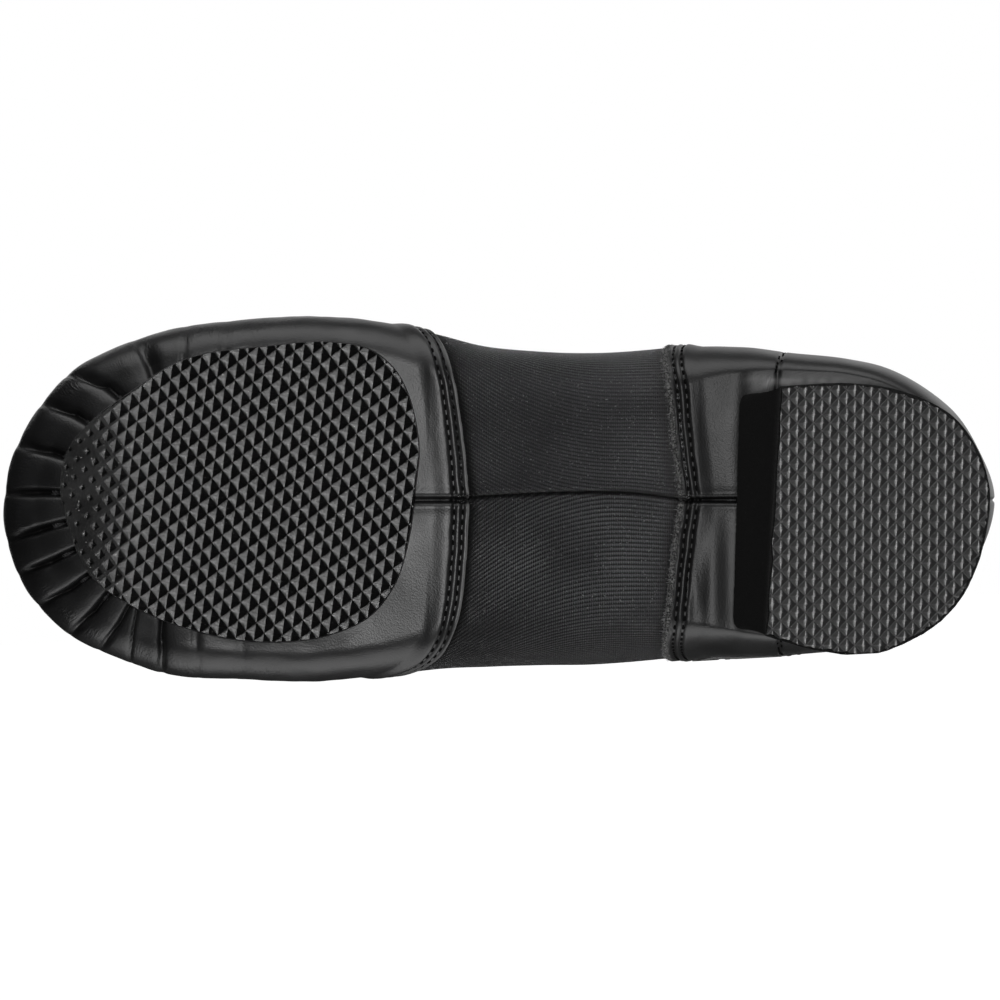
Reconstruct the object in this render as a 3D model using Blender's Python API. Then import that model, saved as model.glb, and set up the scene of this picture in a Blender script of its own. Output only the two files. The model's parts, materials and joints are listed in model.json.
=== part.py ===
"""A left split-sole jazz shoe, empty, lying on its inner side.

Every piece is first made in the shoe's own frame: X runs from the toe tip to the heel, Y towards
the inner (big toe) side and Z up from the plane that both treads stand on. An empty then lays the
whole shoe on its inner side, with the treads facing -Y. Lengths are in metres.
"""

import math
from collections import namedtuple

import bmesh
import bpy
import numpy as np
from mathutils import Matrix, Vector

# Driving sizes of the last
LENGTH = 0.245
BALL_WIDTH = 0.090
INSTEP_HEIGHT = 0.074
SIDE_HEIGHT = 0.057
BACK_HEIGHT = 0.070
HEEL_HEIGHT = 0.0125
TOE_SPRING = 0.0075
ARCH_RISE = 0.0025

# Sizes of the pieces
WALL = 0.0018
FOREFOOT_SOLE = 0.0030
HEEL_TREAD = 0.0025
INSOLE = 0.0020
BREAST_SLANT = 0.0090
BLOCK_UNDERCUT = 0.0020
LASTING_MARGIN = 0.0090
INSOLE_CLEARANCE = 0.0015
GAP = 0.0003

# Raised seams and the turned top edge, all steps in the wall
SEAM_STEP = 0.0008
SEAM_BAND = 0.0050
SEAM_RAMP = 0.0004
SEAM_FADE = 0.0020
HEM_STEP = 0.0006
HEM_WIDTH = 0.0060

# Weight of each kind of material, for finding how the shoe lies
LEATHER_DENSITY = 900.0
RUBBER_DENSITY = 1200.0
FOAM_DENSITY = 250.0
SOCK_DENSITY = 400.0

# Places along the shoe, as shares of LENGTH
TOE_CENTRE = 0.180
HEEL_CENTRE = 0.845
ROLL_START = 0.185
ARCH_START = 0.430
ARCH_END = 0.700
THROAT = 0.498
SIDE_DIP = 0.750

# Half widths seen from below, outer (little toe) side and inner side: shares of BALL_WIDTH
Plan = namedtuple("Plan", "along outer inner")
WIDEST = [
    Plan(0.000, -0.008, 0.008),
    Plan(0.006, 0.096, 0.142),
    Plan(0.018, 0.173, 0.222),
    Plan(0.038, 0.263, 0.299),
    Plan(0.068, 0.351, 0.373),
    Plan(0.109, 0.414, 0.425),
    Plan(0.159, 0.460, 0.474),
    Plan(0.229, 0.490, 0.491),
    Plan(0.320, 0.504, 0.496),
    Plan(0.390, 0.484, 0.478),
    Plan(0.440, 0.452, 0.463),
    Plan(0.480, 0.424, 0.459),
    Plan(0.541, 0.408, 0.456),
    Plan(0.601, 0.405, 0.454),
    Plan(0.681, 0.420, 0.437),
    Plan(0.742, 0.422, 0.434),
    Plan(0.802, 0.403, 0.427),
    Plan(0.852, 0.389, 0.413),
    Plan(0.892, 0.362, 0.388),
    Plan(0.928, 0.312, 0.338),
    Plan(0.958, 0.247, 0.270),
    Plan(0.983, 0.148, 0.165),
    Plan(1.000, 0.019, -0.019),
]
FOREFOOT_PLAN = [
    Plan(0.060, 0.041, -0.041),
    Plan(0.068, 0.137, 0.068),
    Plan(0.093, 0.219, 0.214),
    Plan(0.129, 0.290, 0.283),
    Plan(0.179, 0.376, 0.342),
    Plan(0.269, 0.419, 0.386),
    Plan(0.330, 0.430, 0.366),
    Plan(0.370, 0.409, 0.315),
    Plan(0.395, 0.354, 0.227),
    Plan(0.408, 0.288, 0.115),
    Plan(0.416, 0.205, -0.049),
    Plan(0.419, 0.137, -0.137),
]
OPENING = [
    Plan(0.498, 0.000, 0.000),
    Plan(0.505, 0.105, 0.115),
    Plan(0.530, 0.200, 0.230),
    Plan(0.570, 0.265, 0.320),
    Plan(0.630, 0.315, 0.390),
    Plan(0.700, 0.345, 0.430),
    Plan(0.760, 0.345, 0.431),
    Plan(0.820, 0.335, 0.407),
    Plan(0.880, 0.300, 0.355),
    Plan(0.940, 0.222, 0.262),
    Plan(0.975, 0.120, 0.150),
    Plan(0.986, 0.010, -0.010),
]

# Heel tread: from its outer front corner round the back to its inner front corner
Mark = namedtuple("Mark", "along across")
HEEL_PLAN = [
    Mark(0.782, -0.307),
    Mark(0.852, -0.315),
    Mark(0.882, -0.307),
    Mark(0.923, -0.274),
    Mark(0.953, -0.227),
    Mark(0.978, -0.137),
    Mark(0.990, -0.030),
    Mark(0.986, 0.095),
    Mark(0.976, 0.190),
    Mark(0.958, 0.280),
    Mark(0.936, 0.340),
    Mark(0.908, 0.385),
    Mark(0.872, 0.419),
    Mark(0.822, 0.409),
    Mark(0.767, 0.368),
]

# Sections: the flat share of the half width, the height of the widest place above the bottom on
# each side and the crest above the floor as shares of INSTEP_HEIGHT, and the roundness of the top.
# On the inner side the slack wall stands out furthest near the top edge, where the shoe lies on it
Section = namedtuple("Section", "along flat swell_outer swell_inner crest roundness")
SECTIONS = [
    Section(0.00, 0.80, 0.150, 0.150, 0.530, 2.50),
    Section(0.06, 0.80, 0.160, 0.160, 0.530, 2.50),
    Section(0.18, 0.81, 0.175, 0.175, 0.530, 2.40),
    Section(0.25, 0.82, 0.180, 0.180, 0.565, 2.20),
    Section(0.32, 0.82, 0.185, 0.185, 0.635, 2.05),
    Section(0.40, 0.78, 0.195, 0.200, 0.770, 1.95),
    Section(0.46, 0.68, 0.210, 0.235, 0.905, 1.88),
    Section(0.50, 0.62, 0.220, 0.280, 1.000, 1.85),
    Section(0.60, 0.60, 0.235, 0.400, 1.100, 1.90),
    Section(0.70, 0.76, 0.225, 0.440, 1.150, 2.00),
    Section(0.78, 0.86, 0.210, 0.430, 1.150, 2.00),
    Section(0.90, 0.88, 0.220, 0.330, 1.150, 2.00),
    Section(1.00, 0.88, 0.250, 0.250, 1.150, 2.00),
]

# Where the stretch arch panel meets the leather in front and behind, going from the bottom centre
# line (0) over the widest place (0.4) to the top (1)
Seam = namedtuple("Seam", "around front_outer front_inner rear_outer rear_inner")
SEAMS = [
    Seam(0.0, 0.470, 0.470, 0.680, 0.680),
    Seam(0.1, 0.465, 0.467, 0.673, 0.672),
    Seam(0.2, 0.457, 0.460, 0.668, 0.667),
    Seam(0.3, 0.445, 0.441, 0.664, 0.664),
    Seam(0.4, 0.429, 0.400, 0.668, 0.672),
    Seam(0.6, 0.407, 0.389, 0.675, 0.678),
    Seam(0.8, 0.391, 0.386, 0.684, 0.686),
    Seam(1.0, 0.386, 0.386, 0.692, 0.692),
]
FLAT_END = 0.2
WIDEST_PLACE = 0.4

# Mesh fineness
TOE_RAYS = 18
HEEL_RAYS = 16
FLAT_STEPS = 3
TURN_STEPS = 5
SIDE_STEPS = 7
CURVE_STEPS = 9
PLAN_STRIDE = 3

Finish = namedtuple("Finish", "colour roughness metallic")
BLACK_LEATHER = Finish((0.035, 0.035, 0.037), 0.45, 0.0)
BLACK_RUBBER = Finish((0.030, 0.030, 0.030), 0.60, 0.0)
BLACK_FOAM = Finish((0.012, 0.012, 0.012), 0.85, 0.0)
GREY_SOCK = Finish((0.060, 0.060, 0.062), 0.90, 0.0)


def smooth(places, values):
    """A soft curve through a table's values, as a function of the place."""
    places = np.array(places)
    values = np.array(values)
    slopes = np.gradient(values, places)

    def at(place):
        place = min(max(place, places[0]), places[-1])
        i = int(np.clip(np.searchsorted(places, place) - 1, 0, len(places) - 2))
        span = places[i + 1] - places[i]
        t = (place - places[i]) / span
        start = (1 + 2 * t) * (1 - t) ** 2 * values[i] + t * (1 - t) ** 2 * span * slopes[i]
        end = t * t * (3 - 2 * t) * values[i + 1] + t * t * (t - 1) * span * slopes[i + 1]
        return start + end

    return at


def column(table, name):
    """One column of a table along the shoe, as a soft curve."""
    return smooth([row[0] for row in table], [getattr(row, name) for row in table])


flat_share = column(SECTIONS, "flat")
swell_outer = column(SECTIONS, "swell_outer")
swell_inner = column(SECTIONS, "swell_inner")
crest_share = column(SECTIONS, "crest")
roundness = column(SECTIONS, "roundness")


def soft_curve(points, closed):
    """The points joined by a soft curve, with more points between them."""
    points = np.array(points)
    count = len(points)
    found = []
    for i in range(count if closed else count - 1):
        if closed:
            a, b, c, d = (points[(i + k) % count] for k in (-1, 0, 1, 2))
        else:
            a, b, c, d = (points[min(max(i + k, 0), count - 1)] for k in (-1, 0, 1, 2))
        before = max(np.linalg.norm(b - a), 1e-9)
        span = np.linalg.norm(c - b)
        after = max(np.linalg.norm(d - c), 1e-9)
        leave = ((b - a) / before * span + (c - b) * before / span) / (before + span) * span
        arrive = ((c - b) / span * after + (d - c) * span / after) / (span + after) * span
        for t in np.arange(CURVE_STEPS) / CURVE_STEPS:
            start = (1 + 2 * t) * (1 - t) ** 2 * b + t * (1 - t) ** 2 * leave
            end = t * t * (3 - 2 * t) * c + t * t * (t - 1) * arrive
            found.append(start + end)
    if not closed:
        found.append(points[-1])
    return np.array(found)


def outline(table):
    """A closed outline in real size from a table of half widths."""
    inner = [(row.along * LENGTH, row.inner * BALL_WIDTH) for row in table]
    outer = [(row.along * LENGTH, -row.outer * BALL_WIDTH) for row in table[1:-1]]
    return soft_curve(inner + outer[::-1], closed=True)


def reach(points, start, heading):
    """How far a closed outline lies from a start inside it, or 0 where the start is outside."""
    a = points - start
    b = np.roll(points, -1, axis=0) - start
    side_a = a[:, 0] * heading[1] - a[:, 1] * heading[0]
    side_b = b[:, 0] * heading[1] - b[:, 1] * heading[0]
    crossed = (side_a > 0) != (side_b > 0)
    if not crossed.any():
        return 0.0
    share = side_a[crossed] / (side_a[crossed] - side_b[crossed])
    hits = a[crossed] + share[:, None] * (b[crossed] - a[crossed])
    distances = hits @ np.array(heading)
    ahead = distances[distances > 0]
    if len(ahead) % 2 == 0:
        return 0.0
    return float(ahead.max())


def heel_outline():
    """The heel tread's outline: a soft curve round the back, closed by the straight breast."""
    marks = [(mark.along * LENGTH, mark.across * BALL_WIDTH) for mark in HEEL_PLAN]
    back = soft_curve(marks, closed=False)
    shares = np.arange(1, CURVE_STEPS)[:, None] / CURVE_STEPS
    breast = back[-1] + (back[0] - back[-1]) * shares
    return np.concatenate([back, breast])


def block_top_outline():
    """The heel block where it meets the shoe: undercut at the sides, further forward in front."""
    tread = heel_outline()
    middle = tread.mean(axis=0)
    outward = tread - middle
    size = np.linalg.norm(outward, axis=1)
    top = middle + outward * (1 - BLOCK_UNDERCUT / size)[:, None]
    on_breast = np.arange(len(tread)) >= len(tread) - CURVE_STEPS
    on_breast[0] = True
    top[on_breast, 0] = tread[on_breast, 0] - BREAST_SLANT
    return top


def window_edge(points, start, heading):
    """How far out a ray stays clear of an outline by the lasting margin, or 0 outside it."""
    full = reach(points, start, heading)
    distances = np.linspace(0.0, full, 50)
    spots = start + distances[:, None] * np.array(heading)
    gaps = np.linalg.norm(spots[:, None, :] - points[None, :, :], axis=2).min(axis=1)
    clear = gaps >= LASTING_MARGIN
    if full == 0 or not clear[0]:
        return 0.0
    return float(distances[clear].max())


widest_outline = outline(WIDEST)
opening_outline = outline(OPENING)
forefoot_outline = outline(FOREFOOT_PLAN)
seat_outline = block_top_outline()


def ease(share):
    share = min(max(share, 0.0), 1.0)
    return share * share * (3 - 2 * share)


def bottom_height(x):
    """Height of the upper's underside: toe spring, flat forefoot, arch and heel seat."""
    along = x / LENGTH
    forefoot = FOREFOOT_SOLE + GAP
    seat = HEEL_HEIGHT + GAP
    if along < ROLL_START:
        return forefoot + TOE_SPRING * ((ROLL_START - along) / ROLL_START) ** 2
    share = min(max((along - ARCH_START) / (ARCH_END - ARCH_START), 0.0), 1.0)
    return forefoot + (seat - forefoot) * ease(share) + ARCH_RISE * math.sin(math.pi * share)


def top_height(x):
    """Height of the crest in front of the throat and of the top edge behind it."""
    along = x / LENGTH
    if along < THROAT:
        return crest_share(along) / crest_share(THROAT) * INSTEP_HEIGHT
    if along < SIDE_DIP:
        share = (SIDE_DIP - along) / (SIDE_DIP - THROAT)
        return SIDE_HEIGHT + (INSTEP_HEIGHT - SIDE_HEIGHT) * share**1.6
    share = (along - SIDE_DIP) / (1 - SIDE_DIP)
    return SIDE_HEIGHT + (BACK_HEIGHT - SIDE_HEIGHT) * ease(share)


def underside_start(start_x, heading):
    """Where the upper's underside begins: at a window's edge, or on the centre line."""
    start = np.array([start_x, 0.0])
    forefoot = window_edge(forefoot_outline, start, heading)
    return max(forefoot, window_edge(seat_outline, start, heading))


def last_point(start_x, heading, around, begin=0.0):
    """A point of the upper's outside: from the underside (0) over the widest place to the top (1)."""
    start = np.array([start_x, 0.0])
    half = reach(widest_outline, start, heading)
    wide = start + half * np.array(heading)
    flat = flat_share(wide[0] / LENGTH) * half
    inner_share = (1 + heading[1]) / 2
    swell = INSTEP_HEIGHT * (
        inner_share * swell_inner(wide[0] / LENGTH)
        + (1 - inner_share) * swell_outer(wide[0] / LENGTH)
    )
    if around <= WIDEST_PLACE:
        if around <= FLAT_END:
            distance = begin + (flat - begin) * around / FLAT_END
            rise = 0.0
        else:
            turn = (around - FLAT_END) / (WIDEST_PLACE - FLAT_END) * math.pi / 2
            distance = flat + (half - flat) * math.sin(turn)
            rise = swell * (1 - math.cos(turn))
        x, y = start + distance * np.array(heading)
        return x, y, bottom_height(x) + rise

    power = 2 / roundness(start_x / LENGTH)
    edge = reach(opening_outline, start, heading)
    end_angle = math.acos(min((edge / half) ** (1 / power), 0.999))
    angle = (around - WIDEST_PLACE) / (1 - WIDEST_PLACE) * end_angle
    distance = half * max(math.cos(angle), 0.0) ** power
    x, y = start + distance * np.array(heading)
    low = bottom_height(wide[0]) + swell
    edge_x = start_x + edge * heading[0]
    high = top_height(edge_x)
    share = (math.sin(angle) / math.sin(end_angle)) ** power
    slope = (top_height(start_x + GAP) - top_height(start_x - GAP)) / (2 * GAP)
    tilt = slope * (x - edge_x) * share**2 if edge == 0 else 0.0
    return x, y, low + (high - low) * share + tilt


def seam_place(name, around):
    return SEAM_CURVES[name](around) * LENGTH


SEAM_CURVES = {name: column(SEAMS, name) for name in Seam._fields[1:]}

# A line round the shoe: its place along the centre line as a function of side and height round
# the section, and how far the wall is raised there
Line = namedtuple("Line", "place step")


def seam_lines(name, leather_side):
    """Four lines that carry a seam's raised edge, in order along the shoe."""
    def moved(by):
        return lambda side, around: seam_place(name + side, around) + by

    lines = [
        Line(moved(-leather_side * SEAM_RAMP), 0.0),
        Line(moved(0.0), SEAM_STEP),
        Line(moved(leather_side * SEAM_BAND), SEAM_STEP),
        Line(moved(leather_side * (SEAM_BAND + SEAM_FADE)), 0.0),
    ]
    return lines if leather_side > 0 else lines[::-1]


def between(first, last, count, bunching=1.0):
    """Lines spread between two others, closer to the first where bunching is over 1."""
    def mixed(share):
        return lambda side, around: (
            (1 - share) * first.place(side, around) + share * last.place(side, around)
        )

    shares = [((i + 1) / (count + 1)) ** bunching for i in range(count)]
    return [Line(mixed(share), 0.0) for share in shares]


def straight(x):
    return Line(lambda side, around: x, 0.0)


def length_lines():
    """Every line round the shoe between the toe's and the heel's turning centres."""
    toe = straight(TOE_CENTRE * LENGTH)
    front = seam_lines("front_", -1)
    hem = straight(THROAT * LENGTH - HEM_WIDTH)
    throat = straight(THROAT * LENGTH)
    rear = seam_lines("rear_", 1)
    heel = straight(HEEL_CENTRE * LENGTH)
    lines = [toe] + between(toe, front[0], 9) + front + between(front[-1], hem, 2)
    lines += [hem, throat] + between(throat, rear[0], 9, 1.6) + rear
    return lines + between(rear[-1], heel, 5) + [heel]


def section_places(start, heading):
    """Where the points lie round one section, the last two at the turned top edge."""
    flats = [i / FLAT_STEPS * FLAT_END for i in range(FLAT_STEPS)]
    turns = [
        FLAT_END + i / TURN_STEPS * (WIDEST_PLACE - FLAT_END) for i in range(TURN_STEPS)
    ]
    wide = Vector(last_point(start, heading, WIDEST_PLACE))
    middle = Vector(last_point(start, heading, (1 + WIDEST_PLACE) / 2))
    top = Vector(last_point(start, heading, 1.0))
    side_length = (middle - wide).length + (top - middle).length
    hem = min(HEM_WIDTH / side_length, 0.4)
    hem_place = 1 - hem * (1 - WIDEST_PLACE)
    sides = [
        WIDEST_PLACE + i / SIDE_STEPS * (hem_place - WIDEST_PLACE) for i in range(SIDE_STEPS)
    ]
    return flats + turns + sides + [hem_place, 1.0]


def upper_grid():
    """Sections round the whole shoe, each a list of points and of how far they are raised."""
    sections = []
    toe = TOE_CENTRE * LENGTH
    heel = HEEL_CENTRE * LENGTH
    lines = length_lines()

    def straight_sections(side, sign, ordered):
        for line in ordered:
            middle = line.place(side, WIDEST_PLACE)
            places = section_places(middle, (0.0, sign))
            begin = underside_start(line.place(side, 0.0), (0.0, sign))
            points = [last_point(line.place(side, p), (0.0, sign), p, begin) for p in places]
            sections.append((points, line.step))

    def fan_sections(centre, first, last, count):
        for i in range(1, count):
            angle = first + (last - first) * i / count
            heading = (math.cos(angle), math.sin(angle))
            begin = underside_start(centre, heading)
            places = section_places(centre, heading)
            sections.append(([last_point(centre, heading, p, begin) for p in places], 0.0))

    straight_sections("inner", 1.0, lines)
    fan_sections(heel, math.pi / 2, -math.pi / 2, HEEL_RAYS)
    straight_sections("outer", -1.0, lines[::-1])
    fan_sections(toe, -math.pi / 2, -3 * math.pi / 2, TOE_RAYS)
    return sections


def welded_skin(sections):
    """The open skin through closed-round sections: points, faces and each grid point's index."""
    points, index, found = [], {}, []
    for section in sections:
        row = []
        for p in section:
            key = tuple(round(c, 6) for c in p)
            if key not in index:
                index[key] = len(points)
                points.append(p)
            row.append(index[key])
        found.append(row)
    faces = []
    for i, row in enumerate(found):
        after = found[(i + 1) % len(found)]
        for j in range(len(row) - 1):
            corners = [row[j], after[j], after[j + 1], row[j + 1]]
            face = [c for k, c in enumerate(corners) if c != corners[k - 1]]
            if len(set(face)) > 2:
                faces.append(face)
    return np.array(points), faces, found


def point_normals(points, faces):
    """The outward direction at each point of a skin."""
    normals = np.zeros_like(points)
    for face in faces:
        corners = points[face]
        area = np.zeros(3)
        for k in range(1, len(face) - 1):
            area += np.cross(corners[k] - corners[0], corners[k + 1] - corners[0])
        normals[face] += area
    return normals / np.linalg.norm(normals, axis=1)[:, None]


def thick_skin(outside, inside, faces):
    """A closed solid from an outside and an inside skin, joined along their open edges."""
    count = len(outside)
    edges = {}
    for face in faces:
        for k, a in enumerate(face):
            b = face[(k + 1) % len(face)]
            edges[(a, b)] = True
    rims = [[b, a, a + count, b + count] for a, b in edges if (b, a) not in edges]
    inner = [[c + count for c in reversed(face)] for face in faces]
    return np.concatenate([outside, inside]), faces + inner + rims


def add_piece(name, points, faces, finish, parent):
    """A named mesh object with its own material, held by the empty that lays the shoe down."""
    mesh = bpy.data.meshes.new(name)
    mesh.from_pydata([tuple(p) for p in points], [], faces)
    bm = bmesh.new()
    bm.from_mesh(mesh)
    bmesh.ops.recalc_face_normals(bm, faces=bm.faces)
    bmesh.ops.triangulate(bm, faces=bm.faces)
    bm.to_mesh(mesh)
    bm.free()
    mesh.shade_smooth()
    mesh.set_sharp_from_angle(angle=math.radians(35))
    material = bpy.data.materials.new(name)
    material.use_nodes = True
    shader = material.node_tree.nodes["Principled BSDF"]
    shader.inputs["Base Color"].default_value = (*finish.colour, 1.0)
    shader.inputs["Roughness"].default_value = finish.roughness
    shader.inputs["Metallic"].default_value = finish.metallic
    mesh.materials.append(material)
    piece = bpy.data.objects.new(name, mesh)
    piece.parent = parent
    collection.objects.link(piece)
    return piece


def hem_step(point, top_edge):
    """The top edge is turned over and stitched: the wall is raised along it."""
    distance = np.min(np.linalg.norm(top_edge - point, axis=1))
    return HEM_STEP * ease((HEM_WIDTH * 1.15 - distance) / (HEM_WIDTH * 0.15))


def make_upper(parent):
    """The vamp, the stretch arch and the heel part as one hollow wall."""
    sections = upper_grid()
    points, faces, grid = welded_skin([section for section, step in sections])
    normals = point_normals(points, faces)
    if normals[:, 2][np.argmax(points[:, 2])] < 0:
        faces = [face[::-1] for face in faces]
        normals = -normals
    steps = np.zeros(len(points))
    for row, (section, step) in zip(grid, sections):
        steps[row] = np.maximum(steps[row], step)
    top_edge = np.array(
        [section[-1] for section, step in sections if section[-1][0] >= THROAT * LENGTH - GAP]
    )
    for i, point in enumerate(points):
        steps[i] = max(steps[i], hem_step(point, top_edge))
    outside = points + normals * steps[:, None]
    inside = points - normals * WALL
    solid, faces = thick_skin(outside, inside, faces)
    return add_piece("upper", solid, faces, BLACK_LEATHER, parent)


def slab(ring, under, over):
    """A closed slab inside a ring of plan points, between two height functions of X."""
    middle = ring.mean(axis=0)
    shares = (0.0, 0.3, 0.6, 0.85, 1.0)
    rings = [middle + (ring - middle) * share for share in shares]
    sections = []
    for k in range(len(ring)):
        low = [(r[k][0], r[k][1], under(r[k][0])) for r in rings]
        high = [(r[k][0], r[k][1], over(r[k][0])) for r in reversed(rings)]
        sections.append(low + high)
    points, faces, grid = welded_skin(sections)
    return points, faces


def make_forefoot_sole(parent):
    """The rubber sole under the ball and toes, rolled up with the toe spring."""
    def over(x):
        return bottom_height(x) - GAP

    def under(x):
        return bottom_height(x) - GAP - FOREFOOT_SOLE

    points, faces = slab(forefoot_outline[::PLAN_STRIDE], under, over)
    return add_piece("forefoot_sole", points, faces, BLACK_RUBBER, parent)


def make_heel_tread(parent):
    """The flat rubber top piece that the heel stands on."""
    points, faces = slab(heel_outline()[::PLAN_STRIDE], lambda x: 0.0, lambda x: HEEL_TREAD)
    return add_piece("heel_tread", points, faces, BLACK_RUBBER, parent)


def make_heel_block(parent):
    """The foam heel with a slanted breast, undercut below the heel seat."""
    low = heel_outline()[::PLAN_STRIDE]
    high = seat_outline[::PLAN_STRIDE]
    bottom = HEEL_TREAD + GAP
    middle = low.mean(axis=0)
    sections = []
    for k in range(len(low)):
        ring = [(*middle, bottom), (*low[k], bottom), (*high[k], HEEL_HEIGHT), (*middle, HEEL_HEIGHT)]
        sections.append(ring)
    points, faces, grid = welded_skin(sections)
    return add_piece("heel_block", points, faces, BLACK_FOAM, parent)


def make_insole(parent):
    """The sock that lies on the upper's floor inside."""
    toe = TOE_CENTRE * LENGTH
    heel = HEEL_CENTRE * LENGTH
    places = [(x, (0.0, 1.0)) for x in np.linspace(toe, heel, 20)]
    for i in range(1, 12):
        angle = math.pi / 2 - math.pi * i / 12
        places.append((heel, (math.cos(angle), math.sin(angle))))
    places += [(x, (0.0, -1.0)) for x in np.linspace(heel, toe, 20)]
    for i in range(1, 12):
        angle = -math.pi / 2 - math.pi * i / 12
        places.append((toe, (math.cos(angle), math.sin(angle))))
    sections = []
    for start_x, heading in places:
        start = np.array([start_x, 0.0])
        half = reach(widest_outline, start, heading)
        wide_x = start_x + half * heading[0]
        edge = flat_share(wide_x / LENGTH) * half - WALL - INSOLE_CLEARANCE
        rows = [start + share * edge * np.array(heading) for share in (0.0, 0.5, 1.0)]
        low = [(*row, bottom_height(row[0]) + WALL + GAP) for row in rows]
        high = [(*row, bottom_height(row[0]) + WALL + GAP + INSOLE) for row in reversed(rows)]
        sections.append(low + high)
    points, faces, grid = welded_skin(sections)
    return add_piece("insole", points, faces, GREY_SOCK, parent)


def volume_and_centre(mesh):
    volume, centre = 0.0, Vector()
    for polygon in mesh.polygons:
        a, b, c = (mesh.vertices[i].co for i in polygon.vertices)
        part = a.dot(b.cross(c)) / 6
        volume += part
        centre += part * (a + b + c) / 4
    return volume, centre / volume


def lay_on_inner_side(holder, weights):
    """Turns the holder so that the shoe rests on its inner side, as its weight would have it."""
    total, centre = 0.0, Vector()
    corners = bmesh.new()
    for piece, density in weights.items():
        volume, middle = volume_and_centre(piece.data)
        total += volume * density
        centre += volume * density * middle
        for vertex in piece.data.vertices:
            corners.verts.new(vertex.co)
    centre /= total
    hull = bmesh.ops.convex_hull(corners, input=corners.verts, use_existing_faces=False)
    faces = [item for item in hull["geom"] if isinstance(item, bmesh.types.BMFace)]
    down = Vector((0.0, 1.0, 0.0))
    resting = None
    for face in faces:
        face.normal_update()
        normal = face.normal
        corner = face.verts[0].co
        if normal.dot(corner - centre) < 0:
            normal = -normal
        if normal.dot(down) < 0.8:
            continue
        touch = centre + normal * normal.dot(corner - centre)
        a, b, c = (vertex.co for vertex in face.verts)
        sides = [(q - p).cross(touch - p).dot(normal) for p, q in ((a, b), (b, c), (c, a))]
        if min(sides) >= 0 or max(sides) <= 0:
            resting = (normal.copy(), normal.dot(corner))
    normal, reach_down = resting
    corners.free()
    turn = Matrix.Rotation(-math.pi / 2, 4, "X")
    turned = (turn @ normal).normalized()
    turn = turned.rotation_difference(Vector((0.0, 0.0, -1.0))).to_matrix().to_4x4() @ turn
    spots = [turn @ vertex.co for piece in weights for vertex in piece.data.vertices]
    low = Vector([min(spot[k] for spot in spots) for k in range(3)])
    high = Vector([max(spot[k] for spot in spots) for k in range(3)])
    offset = Vector((-(low.x + high.x) / 2, -(low.y + high.y) / 2, -low.z))
    holder.matrix_world = Matrix.Translation(offset) @ turn


for old in list(bpy.data.objects):
    bpy.data.objects.remove(old)

collection = bpy.data.collections.new("jazz_shoe")
bpy.context.scene.collection.children.link(collection)

holder = bpy.data.objects.new("shoe_on_its_side", None)
collection.objects.link(holder)

pieces = {
    make_upper(holder): LEATHER_DENSITY,
    make_forefoot_sole(holder): RUBBER_DENSITY,
    make_heel_block(holder): FOAM_DENSITY,
    make_heel_tread(holder): RUBBER_DENSITY,
    make_insole(holder): SOCK_DENSITY,
}
lay_on_inner_side(holder, pieces)
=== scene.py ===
# %% [markdown]
# # A jazz shoe seen from below
# The real thing is a soft black dance shoe with a split sole: a leather vamp gathered round the toes, a
# stretch panel under the arch, a leather heel part, and two small rubber treads, one of them on a foam
# heel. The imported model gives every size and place. This lesson dresses it piece by piece, and every
# piece is worked out in the shoe's own axes: X from the toe tip to the heel, Y towards the inner (big
# toe) side, Z up from the plane that both treads stand on.

# %% The frame
import json
import math
from collections import namedtuple

import bmesh
import bpy
import numpy as np
from mathutils import Matrix, Vector, noise
from mathutils.bvhtree import BVHTree


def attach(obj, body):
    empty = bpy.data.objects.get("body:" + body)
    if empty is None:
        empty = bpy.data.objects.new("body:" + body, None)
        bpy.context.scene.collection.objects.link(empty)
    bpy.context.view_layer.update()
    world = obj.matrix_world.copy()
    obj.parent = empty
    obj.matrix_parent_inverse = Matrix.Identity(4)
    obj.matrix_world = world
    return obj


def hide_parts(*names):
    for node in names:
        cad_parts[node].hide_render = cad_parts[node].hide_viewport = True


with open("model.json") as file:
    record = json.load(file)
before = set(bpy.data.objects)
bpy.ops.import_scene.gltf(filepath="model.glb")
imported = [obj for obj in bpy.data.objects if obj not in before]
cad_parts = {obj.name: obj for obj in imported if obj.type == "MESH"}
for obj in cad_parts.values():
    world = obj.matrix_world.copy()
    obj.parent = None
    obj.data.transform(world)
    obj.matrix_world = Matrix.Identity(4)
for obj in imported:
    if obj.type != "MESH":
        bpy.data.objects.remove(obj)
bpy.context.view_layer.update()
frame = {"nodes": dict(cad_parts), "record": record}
MM = 0.001
print("nodes", sorted(frame["nodes"]))

# %% [markdown]
# The shoe lies on its inner side, so its own axes are turned in the frame. They could be typed in as
# angles, but then they would be wrong as soon as the shoe lay differently. Two faces that it stands on
# are named in the record, and their places in the shoe are known, so the axes are worked out from them.

# %% The shoe's own axes
HEEL_SPOT = Vector((0.213, 0.002, 0.0))
FOREFOOT_SPOT = Vector((0.078, -0.002, 0.0))


def shoe_axes(mounts):
    """The matrix from the shoe's own axes to the frame."""
    heel = Vector(mounts["heel_tread_face"]["pos_m"])
    forefoot = Vector(mounts["forefoot_tread_face"]["pos_m"])
    up = -Vector(mounts["heel_tread_face"]["axis"]).normalized()
    between = (heel - forefoot) - (heel - forefoot).dot(up) * up
    own = HEEL_SPOT - FOREFOOT_SPOT
    turn = Matrix.Rotation(-math.atan2(own.y, own.x), 3, up)
    along = (turn @ between).normalized()
    across = up.cross(along)
    placed = Matrix((along, across, up)).transposed()
    return Matrix.Translation(heel - placed @ HEEL_SPOT) @ placed.to_4x4()


shoe = shoe_axes({mount["name"]: mount for mount in frame["record"]["mounts"]})
print("along", [round(c, 4) for c in shoe.col[0][:3]], "up", [round(c, 4) for c in shoe.col[2][:3]])

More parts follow.
